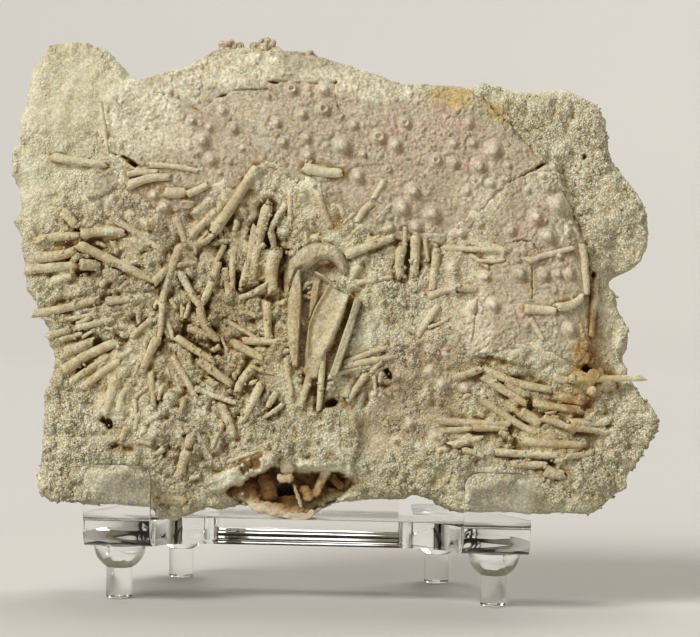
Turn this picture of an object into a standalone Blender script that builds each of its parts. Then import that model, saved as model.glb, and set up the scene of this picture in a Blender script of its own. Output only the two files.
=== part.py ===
"""A fossil sea urchin on its limestone slab, standing on a clear bent-sheet stand with four feet.

The slab is built upright in its own plane and then leaned back on the stand. Places on its face were
read from a photograph, so they are named lists in that photograph's pixels, and on_slab() turns them
into metres on the slab's face. Everything else is in metres.
"""

import math

import bmesh
import bpy
import numpy as np
from mathutils import Matrix, Vector, noise

MM = 0.001

# The view that the pixel lists were read in: its distance, height angle, roll and metres per pixel
VIEW_DISTANCE = 700 * MM
VIEW_ELEVATION = math.radians(1.75)
VIEW_ROLL = math.radians(1.28)
VIEW_AIM_X = 3.6 * MM
VIEW_AIM_Z = 69.4 * MM
VIEW_CENTRE_PX = (350.0, 318.5)
METRES_PER_PX = 0.238 * MM

# Slab
SLAB_THICKNESS = 28 * MM
SLAB_FRONT_Y = 8.6 * MM
SLAB_FOOT_Z = 24.5 * MM
SLAB_LEAN = math.radians(5.5)
SLAB_LOWEST_Z = 20.1 * MM
EDGE_ROUND = 3.5 * MM
WALL_ROUGHNESS = 1.6 * MM
BACK_ROUGHNESS = 2.4 * MM
SEAT_ROUGHNESS = 0.8 * MM
ROCK_GRAIN = 14 * MM
GRAIN_FALL_OFF = 0.9
GRAIN_STEP = 2.0
GRAIN_LAYERS = 4
FORM_VOXEL = 1.2 * MM
BLOCK_TRIANGLES = 2200

# How deep each shaping of the block reaches, in shares of its thickness
RELIEF_FULL = 0.2
RELIEF_END = 0.7
BACK_START = 0.5
WALL_FULL = 0.33

# Small things on the face: heights are shares of their own half width
SPINE_SIDES = 5
SPINE_LIFT = 0.55
SPINE_TAPER = 0.72
TUBERCLE_SIDES = 6
TUBERCLE_RINGS = 4
TUBERCLE_HEIGHT = 0.62

# Stand, bent from one clear sheet
SHEET = 6.35 * MM
STAND_X = -5.6 * MM
HOOK_SPACING = 91 * MM
HOOK_WIDTH = 15.9 * MM
HOOK_TOP_Z = 33.2 * MM
HOOK_CORNER = 3.5 * MM
BEND_INNER = 0.8 * MM
DECK_BOTTOM_Z = 13.2 * MM
NOTCH_Y = 15.5 * MM
NOTCH_CORNER = 13 * MM
SHOULDER_Y = 24 * MM
SHOULDER_CORNER = 8 * MM
DECK_REAR_Y = 65.5 * MM
REAR_LEG_WIDTH = 14 * MM
LEG_CORNER = 5 * MM
REST_WIDTH = 45 * MM
REST_TOP_Z = 94.5 * MM
REST_CORNER = 8 * MM
REST_GAP = 0.7 * MM
SLOT_ROUND_SHARE = 0.95
ARC_STEPS = 6

# Feet
FOOT_RADIUS = 6.35 * MM
PEG_RADIUS = 3.175 * MM
PEG_EDGE = 0.3 * MM
FOOT_SIDES = 16
FOOT_ARC_STEPS = 5
FRONT_FOOT_Y = 13.6 * MM
REAR_FOOT_Y = 58.6 * MM
REAR_FOOT_SPACING = 66 * MM
GAP = 0.3 * MM

WELD = 0.001 * MM
ROCK_COLOUR = (0.66, 0.57, 0.40)
ROCK_MATTNESS = 0.85
ACRYLIC_COLOUR = (0.93, 0.95, 0.94)
ACRYLIC_MATTNESS = 0.05
ACRYLIC_IOR = 1.49

SLAB_OUTLINE_PX = [
    (10, 150), (17, 145), (19, 127), (21, 114), (27, 91), (29, 76), (33.5, 62), (42, 57), (46, 49),
    (52.5, 42), (76, 40.5), (98, 44.5), (109, 49), (114, 57), (123, 65), (129.5, 74), (141, 80),
    (152, 74), (165, 70), (179, 71), (187.5, 67), (194, 60), (208, 59), (214, 51), (223, 43),
    (230, 38), (234, 44.6), (239, 40), (242, 46), (257, 46), (259, 37), (266, 36), (270, 40),
    (277, 46), (288, 49), (299, 52), (308, 49), (315, 51), (321, 60), (335, 62), (350, 64.6),
    (366, 71), (383.5, 75), (406, 86), (424, 86), (446, 84), (464, 89), (475, 85), (484, 82.5),
    (495, 86), (511, 89), (544, 89), (551, 86), (575, 90), (587, 96), (595.5, 101.5), (602, 109),
    (607, 120), (609, 136), (611, 152), (618, 167), (627, 178.5), (636, 190), (645, 203),
    (648, 216), (651, 232), (649, 245), (642, 261), (633.5, 268), (620, 274.5), (613, 269),
    (610, 272), (612, 283), (618, 292), (619, 306), (627, 320), (632, 334), (629, 347), (625, 360),
    (629, 369), (628, 376), (638, 387), (640, 396), (651, 402), (658, 412), (661, 423), (657, 436),
    (647, 450), (638, 465), (629, 476), (627, 488), (613, 499), (602, 508), (591, 515.5),
    (578, 513), (562, 513), (544, 516), (533, 515), (500, 511), (464, 512), (448, 510), (439, 505),
    (430, 499), (417, 495), (401, 500), (383.5, 499), (368, 501), (350, 500), (335, 503),
    (321, 510), (315, 513), (309, 519), (297, 519), (283.5, 518), (268, 511), (252, 505),
    (237, 505), (221, 510), (205, 508), (192, 513), (179, 516), (167, 516), (156, 513), (148, 506),
    (115, 503), (83, 505), (65, 502), (47, 501), (37, 491), (36, 474), (40, 454), (42, 427),
    (43.5, 405), (42, 394), (48, 385), (52.5, 369), (53.6, 354), (46, 339), (48, 328), (34.6, 303),
    (24.6, 287), (23.4, 265.5), (21, 250), (20, 234), (12, 221), (20, 214), (19, 198.6), (18, 187),
    (11, 174),
]

# Broad rises and hollows of the face: centre, half width, half height (pixels), turn (degrees), rise (mm)
SWELLS_PX = [
    (320, 135, 190, 80, 8, 3.0),
    (470, 150, 90, 60, 20, 1.0),
    (535, 240, 55, 85, -15, 2.2),
    (520, 335, 85, 50, 0, 1.5),
    (325, 310, 60, 85, 8, 1.8),
    (575, 215, 13, 48, -12, -2.4),
    (614, 325, 24, 80, 0, -4.5),
    (640, 440, 40, 70, 20, -2.0),
    (230, 265, 60, 45, 0, -0.8),
    (382, 428, 26, 26, 0, -2.6),
    (285, 492, 44, 17, 0, -7.5),
    (340, 488, 26, 13, 0, -3.5),
    (371, 328, 15, 27, 10, -2.6),
    (75, 480, 70, 34, 0, -0.9),
    (70, 95, 60, 60, 0, 0.8),
    (150, 430, 60, 30, 0, 0.8),
]

# Sheets of test and crust that end at an edge: rise (mm), then the outline in pixels
MAIN_TEST_PX = (0.9, [
    (130, 84), (190, 68), (215, 52), (300, 53), (345, 66), (400, 86), (460, 88), (478, 95),
    (520, 138), (545, 160), (500, 190), (470, 230), (440, 245), (400, 240), (350, 230), (300, 185),
    (270, 170), (210, 200), (150, 225), (130, 200), (112, 160), (107, 104),
])
RIGHT_TEST_PX = (1.3, [
    (554, 163), (506, 186), (490, 215), (495, 250), (480, 290), (455, 330), (440, 350), (470, 360),
    (540, 350), (592, 372), (590, 300), (586, 250), (573, 212), (564, 181),
])
LEFT_PLATE_PX = (0.9, [
    (112, 165), (128, 172), (128, 182), (100, 201), (88, 197), (84, 186), (100, 172),
])
CENTRE_SHELF_PX = (1.6, [
    (284, 420), (330, 408), (356, 412), (362, 440), (352, 462), (310, 470), (272, 458), (276, 436),
])
SHEETS_PX = [MAIN_TEST_PX, RIGHT_TEST_PX, LEFT_PLATE_PX, CENTRE_SHELF_PX]
SHEET_EDGE_PX = 5.0

# Spines: first end, second end and width in pixels
LEFT_SPINES_PX = [
    (36, 241, 79, 237, 10), (81, 236, 125, 235, 9), (42, 257, 79, 251, 11), (80, 246, 150, 284, 10),
    (25, 270, 80, 265, 10), (80, 265, 99, 266, 12), (118, 222, 163, 252, 7), (52, 157, 107, 165, 9),
    (128, 187, 170, 178, 9), (62, 212, 76, 227, 11), (84, 221, 98, 229, 10), (165, 193, 187, 193, 11),
    (188, 196, 208, 186, 8), (33, 314, 96, 300, 8), (106, 300, 152, 296, 8), (47, 337, 74, 328, 7),
    (68, 350, 98, 340, 10), (64, 371, 120, 344, 10), (72, 382, 105, 358, 7), (84, 387, 120, 362, 8),
    (116, 377, 107, 411, 12), (126, 387, 118, 413, 8),
]
CENTRE_SPINES_PX = [
    (214, 233, 257, 168, 10), (195, 218, 206, 206, 9), (175, 217, 185, 243, 8), (181, 245, 162, 304, 8),
    (218, 262, 202, 304, 8), (254, 228, 241, 288, 8), (268, 207, 253, 278, 10), (271, 231, 276, 250, 7),
    (277, 248, 270, 288, 11), (225, 268, 229, 298, 7), (304, 169, 342, 175, 11), (318, 193, 331, 229, 9),
    (372, 204, 357, 223, 7), (346, 256, 394, 238, 9), (415, 236, 414, 276, 10), (402, 247, 400, 278, 10),
    (158, 338, 144, 368, 9), (176, 337, 215, 362, 8), (180, 272, 200, 308, 8), (200, 308, 218, 341, 9),
    (188, 328, 208, 338, 9), (199, 360, 232, 385, 9), (234, 343, 263, 359, 9), (243, 341, 295, 345, 8),
    (267, 302, 268, 338, 9), (253, 368, 237, 392, 9), (261, 384, 241, 423, 9), (172, 356, 197, 400, 7),
    (193, 431, 188, 450, 10), (188, 450, 180, 478, 10), (221, 405, 234, 436, 9), (277, 392, 268, 407, 7),
    (317, 352, 301, 401, 8), (320, 350, 319, 412, 7), (345, 366, 398, 356, 7), (366, 375, 347, 402, 7),
    (359, 267, 351, 281, 9), (161, 497, 185, 502, 11),
]
RIGHT_SPINES_PX = [
    (437, 250, 432, 290, 9), (428, 297, 457, 288, 8), (457, 288, 477, 290, 8), (455, 301, 417, 337, 8),
    (524, 310, 555, 312, 10), (555, 308, 582, 297, 9), (582, 245, 587, 295, 8), (594, 297, 591, 337, 9),
    (482, 369, 551, 389, 9), (455, 378, 482, 369, 8), (482, 376, 526, 405, 9), (484, 402, 535, 434, 8),
    (520, 412, 540, 423, 12), (533, 403, 582, 410, 8), (553, 376, 569, 380, 9), (569, 380, 645, 378, 7),
    (558, 396, 588, 400, 9), (569, 423, 609, 421, 9), (542, 418, 575, 432, 8), (566, 427, 609, 432, 7),
    (439, 421, 511, 424, 8), (441, 431, 473, 428, 7), (473, 428, 506, 428, 7), (450, 445, 482, 438, 8),
    (522, 441, 584, 445, 9), (495, 452, 564, 456, 8), (566, 456, 593, 452, 7), (511, 465, 546, 465, 8),
    (544, 470, 564, 476, 12),
]
SPINES_PX = LEFT_SPINES_PX + CENTRE_SPINES_PX + RIGHT_SPINES_PX

# Tubercles: centre and radius in pixels
TUBERCLES_PX = [
    (292, 91, 8), (324, 92, 8), (302, 116, 7), (324, 111, 8), (268, 98, 5), (223, 113, 6),
    (192, 122, 6), (210, 129, 5), (234, 130, 7), (203, 142, 9), (211, 161, 8), (277, 125, 6),
    (283, 144, 6), (307, 140, 6), (154, 196, 6), (165, 207, 7), (147, 224, 7), (343, 148, 11),
    (308, 157, 8), (354, 127, 6), (358, 178, 8), (379, 139, 9), (395, 147, 8), (405, 125, 7),
    (436, 162, 7), (453, 146, 6), (472, 145, 6), (493, 152, 10), (478, 168, 9), (453, 165, 7),
    (490, 185, 6), (466, 193, 6), (413, 193, 9), (402, 209, 10), (432, 215, 10), (416, 228, 8),
    (390, 228, 6), (558, 206, 12), (536, 219, 10), (547, 239, 11), (512, 232, 9), (554, 167, 7),
    (519, 251, 10), (558, 257, 7), (520, 276, 9), (544, 277, 8), (559, 275, 7), (570, 275, 6),
    (484, 277, 7), (453, 268, 7), (472, 308, 7), (493, 306, 8), (570, 330, 8), (445, 355, 7),
    (430, 372, 7), (410, 423, 7), (465, 389, 6), (593, 390, 7), (170, 94, 5),
]

# Jaw apparatus: the arch's middle line, and its bars as first end, second end, width and rise (pixels, mm)
ARCH_PX = [(294, 272), (297, 258), (307, 248), (321, 245), (335, 249), (345, 259)]
ARCH_WIDTH_PX = 15
ARCH_RISE_MM = 2.4
JAW_BARS_PX = [
    (298, 272, 292, 345, 13, 2.2),
    (325, 278, 300, 335, 10, 2.2),
    (333, 296, 314, 380, 24, 1.4),
    (350, 296, 328, 345, 8, 2.4),
    (356, 303, 335, 374, 9, 2.8),
]

# Crust hanging over the hollow at the foot, and the thin shell plate below it: width and rise (pixels, mm)
CRUST_PX = [(212, 472), (243, 468), (272, 456), (300, 465), (325, 466), (350, 472)]
CRUST_WIDTH_PX = 12
CRUST_RISE_MM = 1.2
SHELL_PX = [(262, 508), (290, 512), (318, 512)]
SHELL_WIDTH_PX = 11
SHELL_RISE_MM = 0.0
KNOBS_PX = [(284, 476, 8), (230, 43, 5), (239, 44, 3), (264, 43, 6), (308, 56, 7)]


def view_axes():
    """The view's place and its forward and upward directions, before its roll."""
    forward = np.array([0, math.cos(VIEW_ELEVATION), -math.sin(VIEW_ELEVATION)])
    upward = np.array([0, math.sin(VIEW_ELEVATION), math.cos(VIEW_ELEVATION)])
    place = np.array([VIEW_AIM_X, 0, VIEW_AIM_Z]) - VIEW_DISTANCE * forward
    return place, forward, upward


def on_slab(px, py):
    """Where a pixel falls on the slab's face: x, and the height measured along the face."""
    place, forward, upward = view_axes()
    focal_px = VIEW_DISTANCE / METRES_PER_PX
    dx = np.asarray(px, float) - VIEW_CENTRE_PX[0]
    dy = np.asarray(py, float) - VIEW_CENTRE_PX[1]
    across = (dx * math.cos(VIEW_ROLL) + dy * math.sin(VIEW_ROLL)) / focal_px
    up = (dx * math.sin(VIEW_ROLL) - dy * math.cos(VIEW_ROLL)) / focal_px
    ray_y = forward[1] + up * upward[1]
    ray_z = forward[2] + up * upward[2]
    normal_y = -math.cos(SLAB_LEAN)
    normal_z = math.sin(SLAB_LEAN)
    to_face = (SLAB_FRONT_Y - place[1]) * normal_y + (SLAB_FOOT_Z - place[2]) * normal_z
    reach = to_face / (ray_y * normal_y + ray_z * normal_z)
    rise = place[2] + reach * ray_z - SLAB_FOOT_Z
    return place[0] + reach * across, SLAB_FOOT_Z + rise / math.cos(SLAB_LEAN)


def in_view(x, height):
    """The pixel of a point of the slab's face, the reverse of on_slab()."""
    place, forward, upward = view_axes()
    focal_px = VIEW_DISTANCE / METRES_PER_PX
    dy = SLAB_FRONT_Y + (height - SLAB_FOOT_Z) * math.sin(SLAB_LEAN) - place[1]
    dz = SLAB_FOOT_Z + (height - SLAB_FOOT_Z) * math.cos(SLAB_LEAN) - place[2]
    depth = dy * forward[1] + dz * forward[2]
    across = focal_px * (x - place[0]) / depth
    up = focal_px * (dy * upward[1] + dz * upward[2]) / depth
    px = VIEW_CENTRE_PX[0] + across * math.cos(VIEW_ROLL) + up * math.sin(VIEW_ROLL)
    py = VIEW_CENTRE_PX[1] + across * math.sin(VIEW_ROLL) - up * math.cos(VIEW_ROLL)
    return px, py


def depth_inside(px, py, outline):
    """Distance in pixels from each point to the outline, positive inside it."""
    corners = np.array(outline, float)
    nearest = np.full(px.shape, 1e9)
    inside = np.zeros(px.shape, bool)
    for (ax, ay), (bx, by) in zip(corners, np.roll(corners, -1, axis=0)):
        edge_x, edge_y = bx - ax, by - ay
        along = ((px - ax) * edge_x + (py - ay) * edge_y) / (edge_x**2 + edge_y**2)
        along = np.clip(along, 0, 1)
        nearest = np.minimum(nearest, np.hypot(px - ax - along * edge_x, py - ay - along * edge_y))
        if ay != by:
            crossing_x = ax + (py - ay) / edge_y * edge_x
            inside ^= ((ay > py) != (by > py)) & (px < crossing_x)
    return np.where(inside, nearest, -nearest)


def fade_in(value, start, end):
    """0 up to the start, 1 from the end on, and a straight rise between."""
    return np.clip((value - start) / (end - start), 0, 1)


def relief(px, py):
    """How far the face stands out of the slab's mean plane, in metres."""
    rise = np.zeros(px.shape)
    for cx, cy, half_width, half_height, turn, swell in SWELLS_PX:
        angle = math.radians(turn)
        u = ((px - cx) * math.cos(angle) + (py - cy) * math.sin(angle)) / half_width
        v = (-(px - cx) * math.sin(angle) + (py - cy) * math.cos(angle)) / half_height
        rise += swell * np.exp(-(u**2 + v**2))
    for sheet_rise, outline in SHEETS_PX:
        share = fade_in(depth_inside(px, py, outline), -SHEET_EDGE_PX / 2, SHEET_EDGE_PX / 2)
        rise += sheet_rise * share * share * (3 - 2 * share)
    return rise * MM


def face_point(px, py, above=0.0):
    """A point this far above the relieved face, in the upright slab's own axes."""
    x, height = on_slab(px, py)
    stands_out = float(relief(np.array([float(px)]), np.array([float(py)]))[0])
    return Vector((float(x), -stands_out - above, float(height)))


def material(name, colour, roughness, transmission=0.0, ior=ACRYLIC_IOR):
    made = bpy.data.materials.new(name)
    made.use_nodes = True
    shader = made.node_tree.nodes["Principled BSDF"]
    shader.inputs["Base Color"].default_value = (*colour, 1)
    shader.inputs["Roughness"].default_value = roughness
    shader.inputs["Metallic"].default_value = 0.0
    shader.inputs["Transmission Weight"].default_value = transmission
    shader.inputs["IOR"].default_value = ior
    return made


def add_object(name, mesh, collection, surface=None):
    made = bpy.data.objects.new(name, mesh)
    collection.objects.link(made)
    if surface:
        mesh.materials.append(surface)
    return made


def mesh_of(source):
    """The evaluated mesh of an object, with its caps welded and its place applied; the object is removed."""
    bpy.context.view_layer.update()
    graph = bpy.context.evaluated_depsgraph_get()
    mesh = bpy.data.meshes.new_from_object(source.evaluated_get(graph))
    mesh.transform(source.matrix_world)
    bpy.data.objects.remove(source)
    shape = bmesh.new()
    shape.from_mesh(mesh)
    bmesh.ops.remove_doubles(shape, verts=shape.verts, dist=WELD)
    bmesh.ops.recalc_face_normals(shape, faces=shape.faces)
    shape.to_mesh(mesh)
    shape.free()
    return mesh


def flat_face(outline, collection, thickness=0.0):
    """A flat outline in the level plane, filled, and this thick: half of it to each side."""
    curve = bpy.data.curves.new("outline", "CURVE")
    curve.dimensions = "2D"
    curve.fill_mode = "BOTH"
    curve.extrude = thickness / 2
    spline = curve.splines.new("POLY")
    spline.points.add(len(outline) - 1)
    for point, (u, v) in zip(spline.points, outline):
        point.co = (u, v, 0, 1)
    spline.use_cyclic_u = True
    return mesh_of(add_object("outline", curve, collection))


def modified(mesh, kind, collection, **settings):
    """The mesh after one modifier."""
    holder = add_object("shape", mesh, collection)
    modifier = holder.modifiers.new(kind.title(), kind)
    for name, value in settings.items():
        setattr(modifier, name, value)
    return mesh_of(holder)


def boolean(mesh, operation, other, collection, cutters):
    """The mesh joined with, cut by or kept inside another one."""
    tool = add_object("tool", other, cutters)
    tool.hide_render = True
    tool.display_type = "WIRE"
    result = modified(mesh, "BOOLEAN", collection, operation=operation, object=tool, use_self=True)
    bpy.data.objects.remove(tool)
    return result


def rod(shape, start, end, start_radius, end_radius, sides):
    """A tapered rod with flat broken ends, added to a mesh that is being collected."""
    run = end - start
    placing = Matrix.Translation((start + end) / 2) @ run.to_track_quat("Z", "Y").to_matrix().to_4x4()
    bmesh.ops.create_cone(
        shape, cap_ends=True, segments=sides, radius1=start_radius, radius2=end_radius,
        depth=run.length, matrix=placing,
    )


def band(shape, path_px, width_px, rise_mm, collection):
    """A rounded band along a path of pixels, its crest this far above the face."""
    radius = width_px / 2 * METRES_PER_PX
    curve = bpy.data.curves.new("band", "CURVE")
    curve.dimensions = "3D"
    curve.bevel_depth = radius
    curve.bevel_resolution = 1
    curve.use_fill_caps = True
    spline = curve.splines.new("POLY")
    spline.points.add(len(path_px) - 1)
    for point, (px, py) in zip(spline.points, path_px):
        point.co = (*face_point(px, py, rise_mm * MM - radius), 1)
    shape.from_mesh(mesh_of(add_object("band", curve, collection)))


def rough_block(collection):
    """The slab without its spines and tubercles: the outline as a block, its face relieved, its back and
    sides broken."""
    outline = [on_slab(px, py) for px, py in SLAB_OUTLINE_PX]
    outline = [(float(x), float(height)) for x, height in outline]
    mesh = flat_face(outline, collection, SLAB_THICKNESS)
    mesh.transform(Matrix.Translation((0, SLAB_THICKNESS / 2, 0)) @ Matrix.Rotation(math.radians(90), 4, "X"))
    mesh = modified(mesh, "REMESH", collection, mode="VOXEL", voxel_size=FORM_VOXEL)

    count = len(mesh.vertices)
    places = np.empty(count * 3, np.float32)
    mesh.vertices.foreach_get("co", places)
    places = places.reshape(-1, 3).astype(float)
    normals = np.empty(count * 3, np.float32)
    mesh.vertices.foreach_get("normal", normals)
    normals = normals.reshape(-1, 3)

    px, py = in_view(places[:, 0], places[:, 2])
    from_edge = depth_inside(px, py, SLAB_OUTLINE_PX) * METRES_PER_PX
    near_edge = 1 - np.clip(from_edge / EDGE_ROUND, 0, 1)
    edge_drop = EDGE_ROUND * (1 - np.sqrt(1 - near_edge**2))
    grain = (GRAIN_FALL_OFF, GRAIN_STEP, GRAIN_LAYERS)
    lumps = [noise.fractal(Vector(place) / ROCK_GRAIN, *grain) for place in places]
    lumps = np.clip(0.5 + np.array(lumps), 0, 1)

    depth = places[:, 1] / SLAB_THICKNESS
    inward = WALL_ROUGHNESS * lumps * (near_edge > 0.5) * fade_in(depth, 0, WALL_FULL)
    places[:, 0] -= normals[:, 0] * inward
    places[:, 2] -= normals[:, 2] * inward
    places[:, 1] -= (1 - fade_in(depth, RELIEF_FULL, RELIEF_END)) * (relief(px, py) - edge_drop)
    places[:, 1] -= fade_in(depth, BACK_START, 1) * (edge_drop + BACK_ROUGHNESS * lumps)
    lowest = SLAB_LOWEST_Z + SEAT_ROUGHNESS * lumps - SLAB_FOOT_Z
    lowest = SLAB_FOOT_Z + (lowest + places[:, 1] * math.sin(SLAB_LEAN)) / math.cos(SLAB_LEAN)
    places[:, 2] = np.maximum(places[:, 2], lowest)
    mesh.vertices.foreach_set("co", places.astype(np.float32).ravel())
    return mesh


def add_spines(shape):
    for x1, y1, x2, y2, width in SPINES_PX:
        radius = width / 2 * METRES_PER_PX
        above = radius * SPINE_LIFT
        start = face_point(x1, y1, above)
        end = face_point(x2, y2, above)
        rod(shape, start, end, radius, radius * SPINE_TAPER, SPINE_SIDES)


def lump(shape, px, py, radius_px, flatness):
    """A round boss that grows from the face, with its axis towards the viewer."""
    radius = radius_px * METRES_PER_PX
    facing = Matrix.Rotation(math.radians(90), 4, "X")
    placing = Matrix.Translation(face_point(px, py)) @ Matrix.Diagonal((1, flatness, 1, 1)) @ facing
    bmesh.ops.create_uvsphere(
        shape, u_segments=TUBERCLE_SIDES, v_segments=TUBERCLE_RINGS, radius=radius, matrix=placing
    )


def add_tubercles(shape):
    for px, py, radius_px in TUBERCLES_PX:
        lump(shape, px, py, radius_px, TUBERCLE_HEIGHT)
    for px, py, radius_px in KNOBS_PX:
        lump(shape, px, py, radius_px, 1)


def add_jaws(shape, collection):
    band(shape, ARCH_PX, ARCH_WIDTH_PX, ARCH_RISE_MM, collection)
    for x1, y1, x2, y2, width, rise in JAW_BARS_PX:
        band(shape, [(x1, y1), (x2, y2)], width, rise, collection)


def add_crust(shape, collection):
    band(shape, CRUST_PX, CRUST_WIDTH_PX, CRUST_RISE_MM, collection)
    band(shape, SHELL_PX, SHELL_WIDTH_PX, SHELL_RISE_MM, collection)


def largest_body(mesh):
    """Keeps the body with the most faces, and drops loose crumbs."""
    shape = bmesh.new()
    shape.from_mesh(mesh)
    waiting = set(shape.faces)
    bodies = []
    while waiting:
        first = waiting.pop()
        body = {first}
        front = [first]
        while front:
            for edge in front.pop().edges:
                for face in edge.link_faces:
                    if face in waiting:
                        waiting.remove(face)
                        body.add(face)
                        front.append(face)
        bodies.append(body)
    bodies.sort(key=len)
    for body in bodies[:-1]:
        bmesh.ops.delete(shape, geom=list(body), context="FACES")
    shape.to_mesh(mesh)
    shape.free()
    return mesh


def fossil_slab(parts, cutters, surface):
    """Rock, test, spines and jaws, which are one stone."""
    block = rough_block(parts)
    block.calc_loop_triangles()
    share = BLOCK_TRIANGLES / len(block.loop_triangles)
    block = modified(block, "DECIMATE", parts, ratio=share, use_collapse_triangulate=True)
    shape = bmesh.new()
    add_spines(shape)
    add_tubercles(shape)
    add_jaws(shape, parts)
    add_crust(shape, parts)
    grown = bpy.data.meshes.new("grown")
    shape.to_mesh(grown)
    shape.free()
    stone = largest_body(boolean(block, "UNION", grown, parts, cutters))
    slab = add_object("fossil_slab", stone, parts, surface)
    foot = Vector((0, SLAB_FRONT_Y, SLAB_FOOT_Z))
    lean = Matrix.Rotation(-SLAB_LEAN, 4, "X")
    slab.matrix_world = Matrix.Translation(foot) @ lean @ Matrix.Translation((0, 0, -SLAB_FOOT_Z))
    stone.shade_smooth()
    stone.set_sharp_from_angle(angle=math.radians(40))
    return slab


def rounded(corners):
    """An outline whose corners, given as (u, v, radius), are replaced by arcs."""
    points = []
    count = len(corners)
    for index, (u, v, radius) in enumerate(corners):
        here = Vector((u, v))
        if not radius:
            points.append((u, v))
            continue
        back = (Vector(corners[index - 1][:2]) - here).normalized()
        ahead = (Vector(corners[(index + 1) % count][:2]) - here).normalized()
        half = back.angle(ahead) / 2
        middle = here + (back + ahead).normalized() * (radius / math.sin(half))
        start = here + back * (radius / math.tan(half)) - middle
        end = here + ahead * (radius / math.tan(half)) - middle
        turn = start.angle_signed(end)
        for step in range(ARC_STEPS + 1):
            spoke = start.copy()
            spoke.rotate(Matrix.Rotation(-turn * step / ARC_STEPS, 2))
            points.append(tuple(middle + spoke))
    return points


def flat_outline(bend):
    """The sheet before it is bent, seen from above: two prongs in front that become the hooks, a notch
    between them, two legs behind, and between the legs the tongue that becomes the back rest."""
    prong_out = HOOK_SPACING / 2 + HOOK_WIDTH / 2
    prong_in = HOOK_SPACING / 2 - HOOK_WIDTH / 2
    leg_out = REAR_FOOT_SPACING / 2 + REAR_LEG_WIDTH / 2
    leg_in = REAR_FOOT_SPACING / 2 - REAR_LEG_WIDTH / 2
    rest_out = REST_WIDTH / 2
    slot_end = (leg_in - rest_out) / 2 * SLOT_ROUND_SHARE
    right = [
        (prong_in, NOTCH_Y, NOTCH_CORNER),
        (prong_in, bend["hook_end"], HOOK_CORNER),
        (prong_out, bend["hook_end"], HOOK_CORNER),
        (prong_out, SHOULDER_Y, SHOULDER_CORNER),
        (leg_out, DECK_REAR_Y, LEG_CORNER),
        (leg_in, DECK_REAR_Y, LEG_CORNER),
        (leg_in, bend["rest_start"] - SHEET / 2, slot_end),
        (rest_out, bend["rest_start"] - SHEET / 2, slot_end),
        (rest_out, bend["rest_end"], REST_CORNER),
    ]
    left = [(-u, v, radius) for u, v, radius in reversed(right)]
    return rounded(right + left)


def bend_lines():
    """Where the two bends start and end along the flat sheet's middle plane."""
    radius = BEND_INNER + SHEET / 2
    middle_z = DECK_BOTTOM_Z + SHEET / 2
    hook_start = SHEET / 2 + radius
    hook_arc = radius * math.pi / 2
    rest_turn = math.pi / 2 - SLAB_LEAN
    rest_arc = radius * rest_turn
    back_y = SLAB_FRONT_Y + SLAB_THICKNESS / math.cos(SLAB_LEAN) + REST_GAP
    inner_end_z = middle_z + radius - BEND_INNER * math.cos(rest_turn)
    rest_start = (
        back_y - BEND_INNER * math.sin(rest_turn) - (SLAB_FOOT_Z - inner_end_z) / math.tan(rest_turn)
    )
    return {
        "radius": radius,
        "middle_z": middle_z,
        "hook_start": hook_start,
        "hook_arc": hook_arc,
        "hook_end": hook_start - hook_arc - (HOOK_TOP_Z - middle_z - radius),
        "rest_start": rest_start,
        "rest_turn": rest_turn,
        "rest_arc": rest_arc,
        "rest_end": rest_start + rest_arc + (REST_TOP_Z - middle_z - radius) / math.sin(rest_turn),
    }


def bent(run, radius, turn):
    """How far along and how high a point comes to lie that is this far past the start of a bend."""
    angle = min(run / radius, turn)
    straight = max(run - radius * turn, 0)
    along = radius * math.sin(angle) + straight * math.cos(turn)
    high = radius * (1 - math.cos(angle)) + straight * math.sin(turn)
    return along, high


def stand_base(parts, surface):
    """The sheet's flat outline, bent along its fold lines and then given its thickness."""
    bend = bend_lines()
    mesh = flat_face(flat_outline(bend), parts)
    shape = bmesh.new()
    shape.from_mesh(mesh)
    for step in range(ARC_STEPS + 1):
        share = step / ARC_STEPS
        for cut_y in (
            bend["hook_start"] - bend["hook_arc"] * share,
            bend["rest_start"] + bend["rest_arc"] * share,
        ):
            bmesh.ops.bisect_plane(
                shape, geom=shape.verts[:] + shape.edges[:] + shape.faces[:],
                plane_co=(0, cut_y, 0), plane_no=(0, 1, 0),
            )
    for vert in shape.verts:
        past_hook = bend["hook_start"] - vert.co.y
        past_rest = vert.co.y - bend["rest_start"]
        if past_hook > 0:
            along, high = bent(past_hook, bend["radius"], math.pi / 2)
            vert.co.y = bend["hook_start"] - along
            vert.co.z = high
        elif past_rest > 0 and abs(vert.co.x) < REST_WIDTH / 2 + MM:
            along, high = bent(past_rest, bend["radius"], bend["rest_turn"])
            vert.co.y = bend["rest_start"] + along
            vert.co.z = high
    bmesh.ops.recalc_face_normals(shape, faces=shape.faces)
    shape.to_mesh(mesh)
    shape.free()
    mesh.transform(Matrix.Translation((STAND_X, 0, bend["middle_z"])))
    solid = modified(mesh, "SOLIDIFY", parts, thickness=SHEET, offset=0, use_even_offset=True)
    solid.shade_smooth()
    solid.set_sharp_from_angle(angle=math.radians(30))
    return add_object("stand_base", solid, parts, surface)


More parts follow.
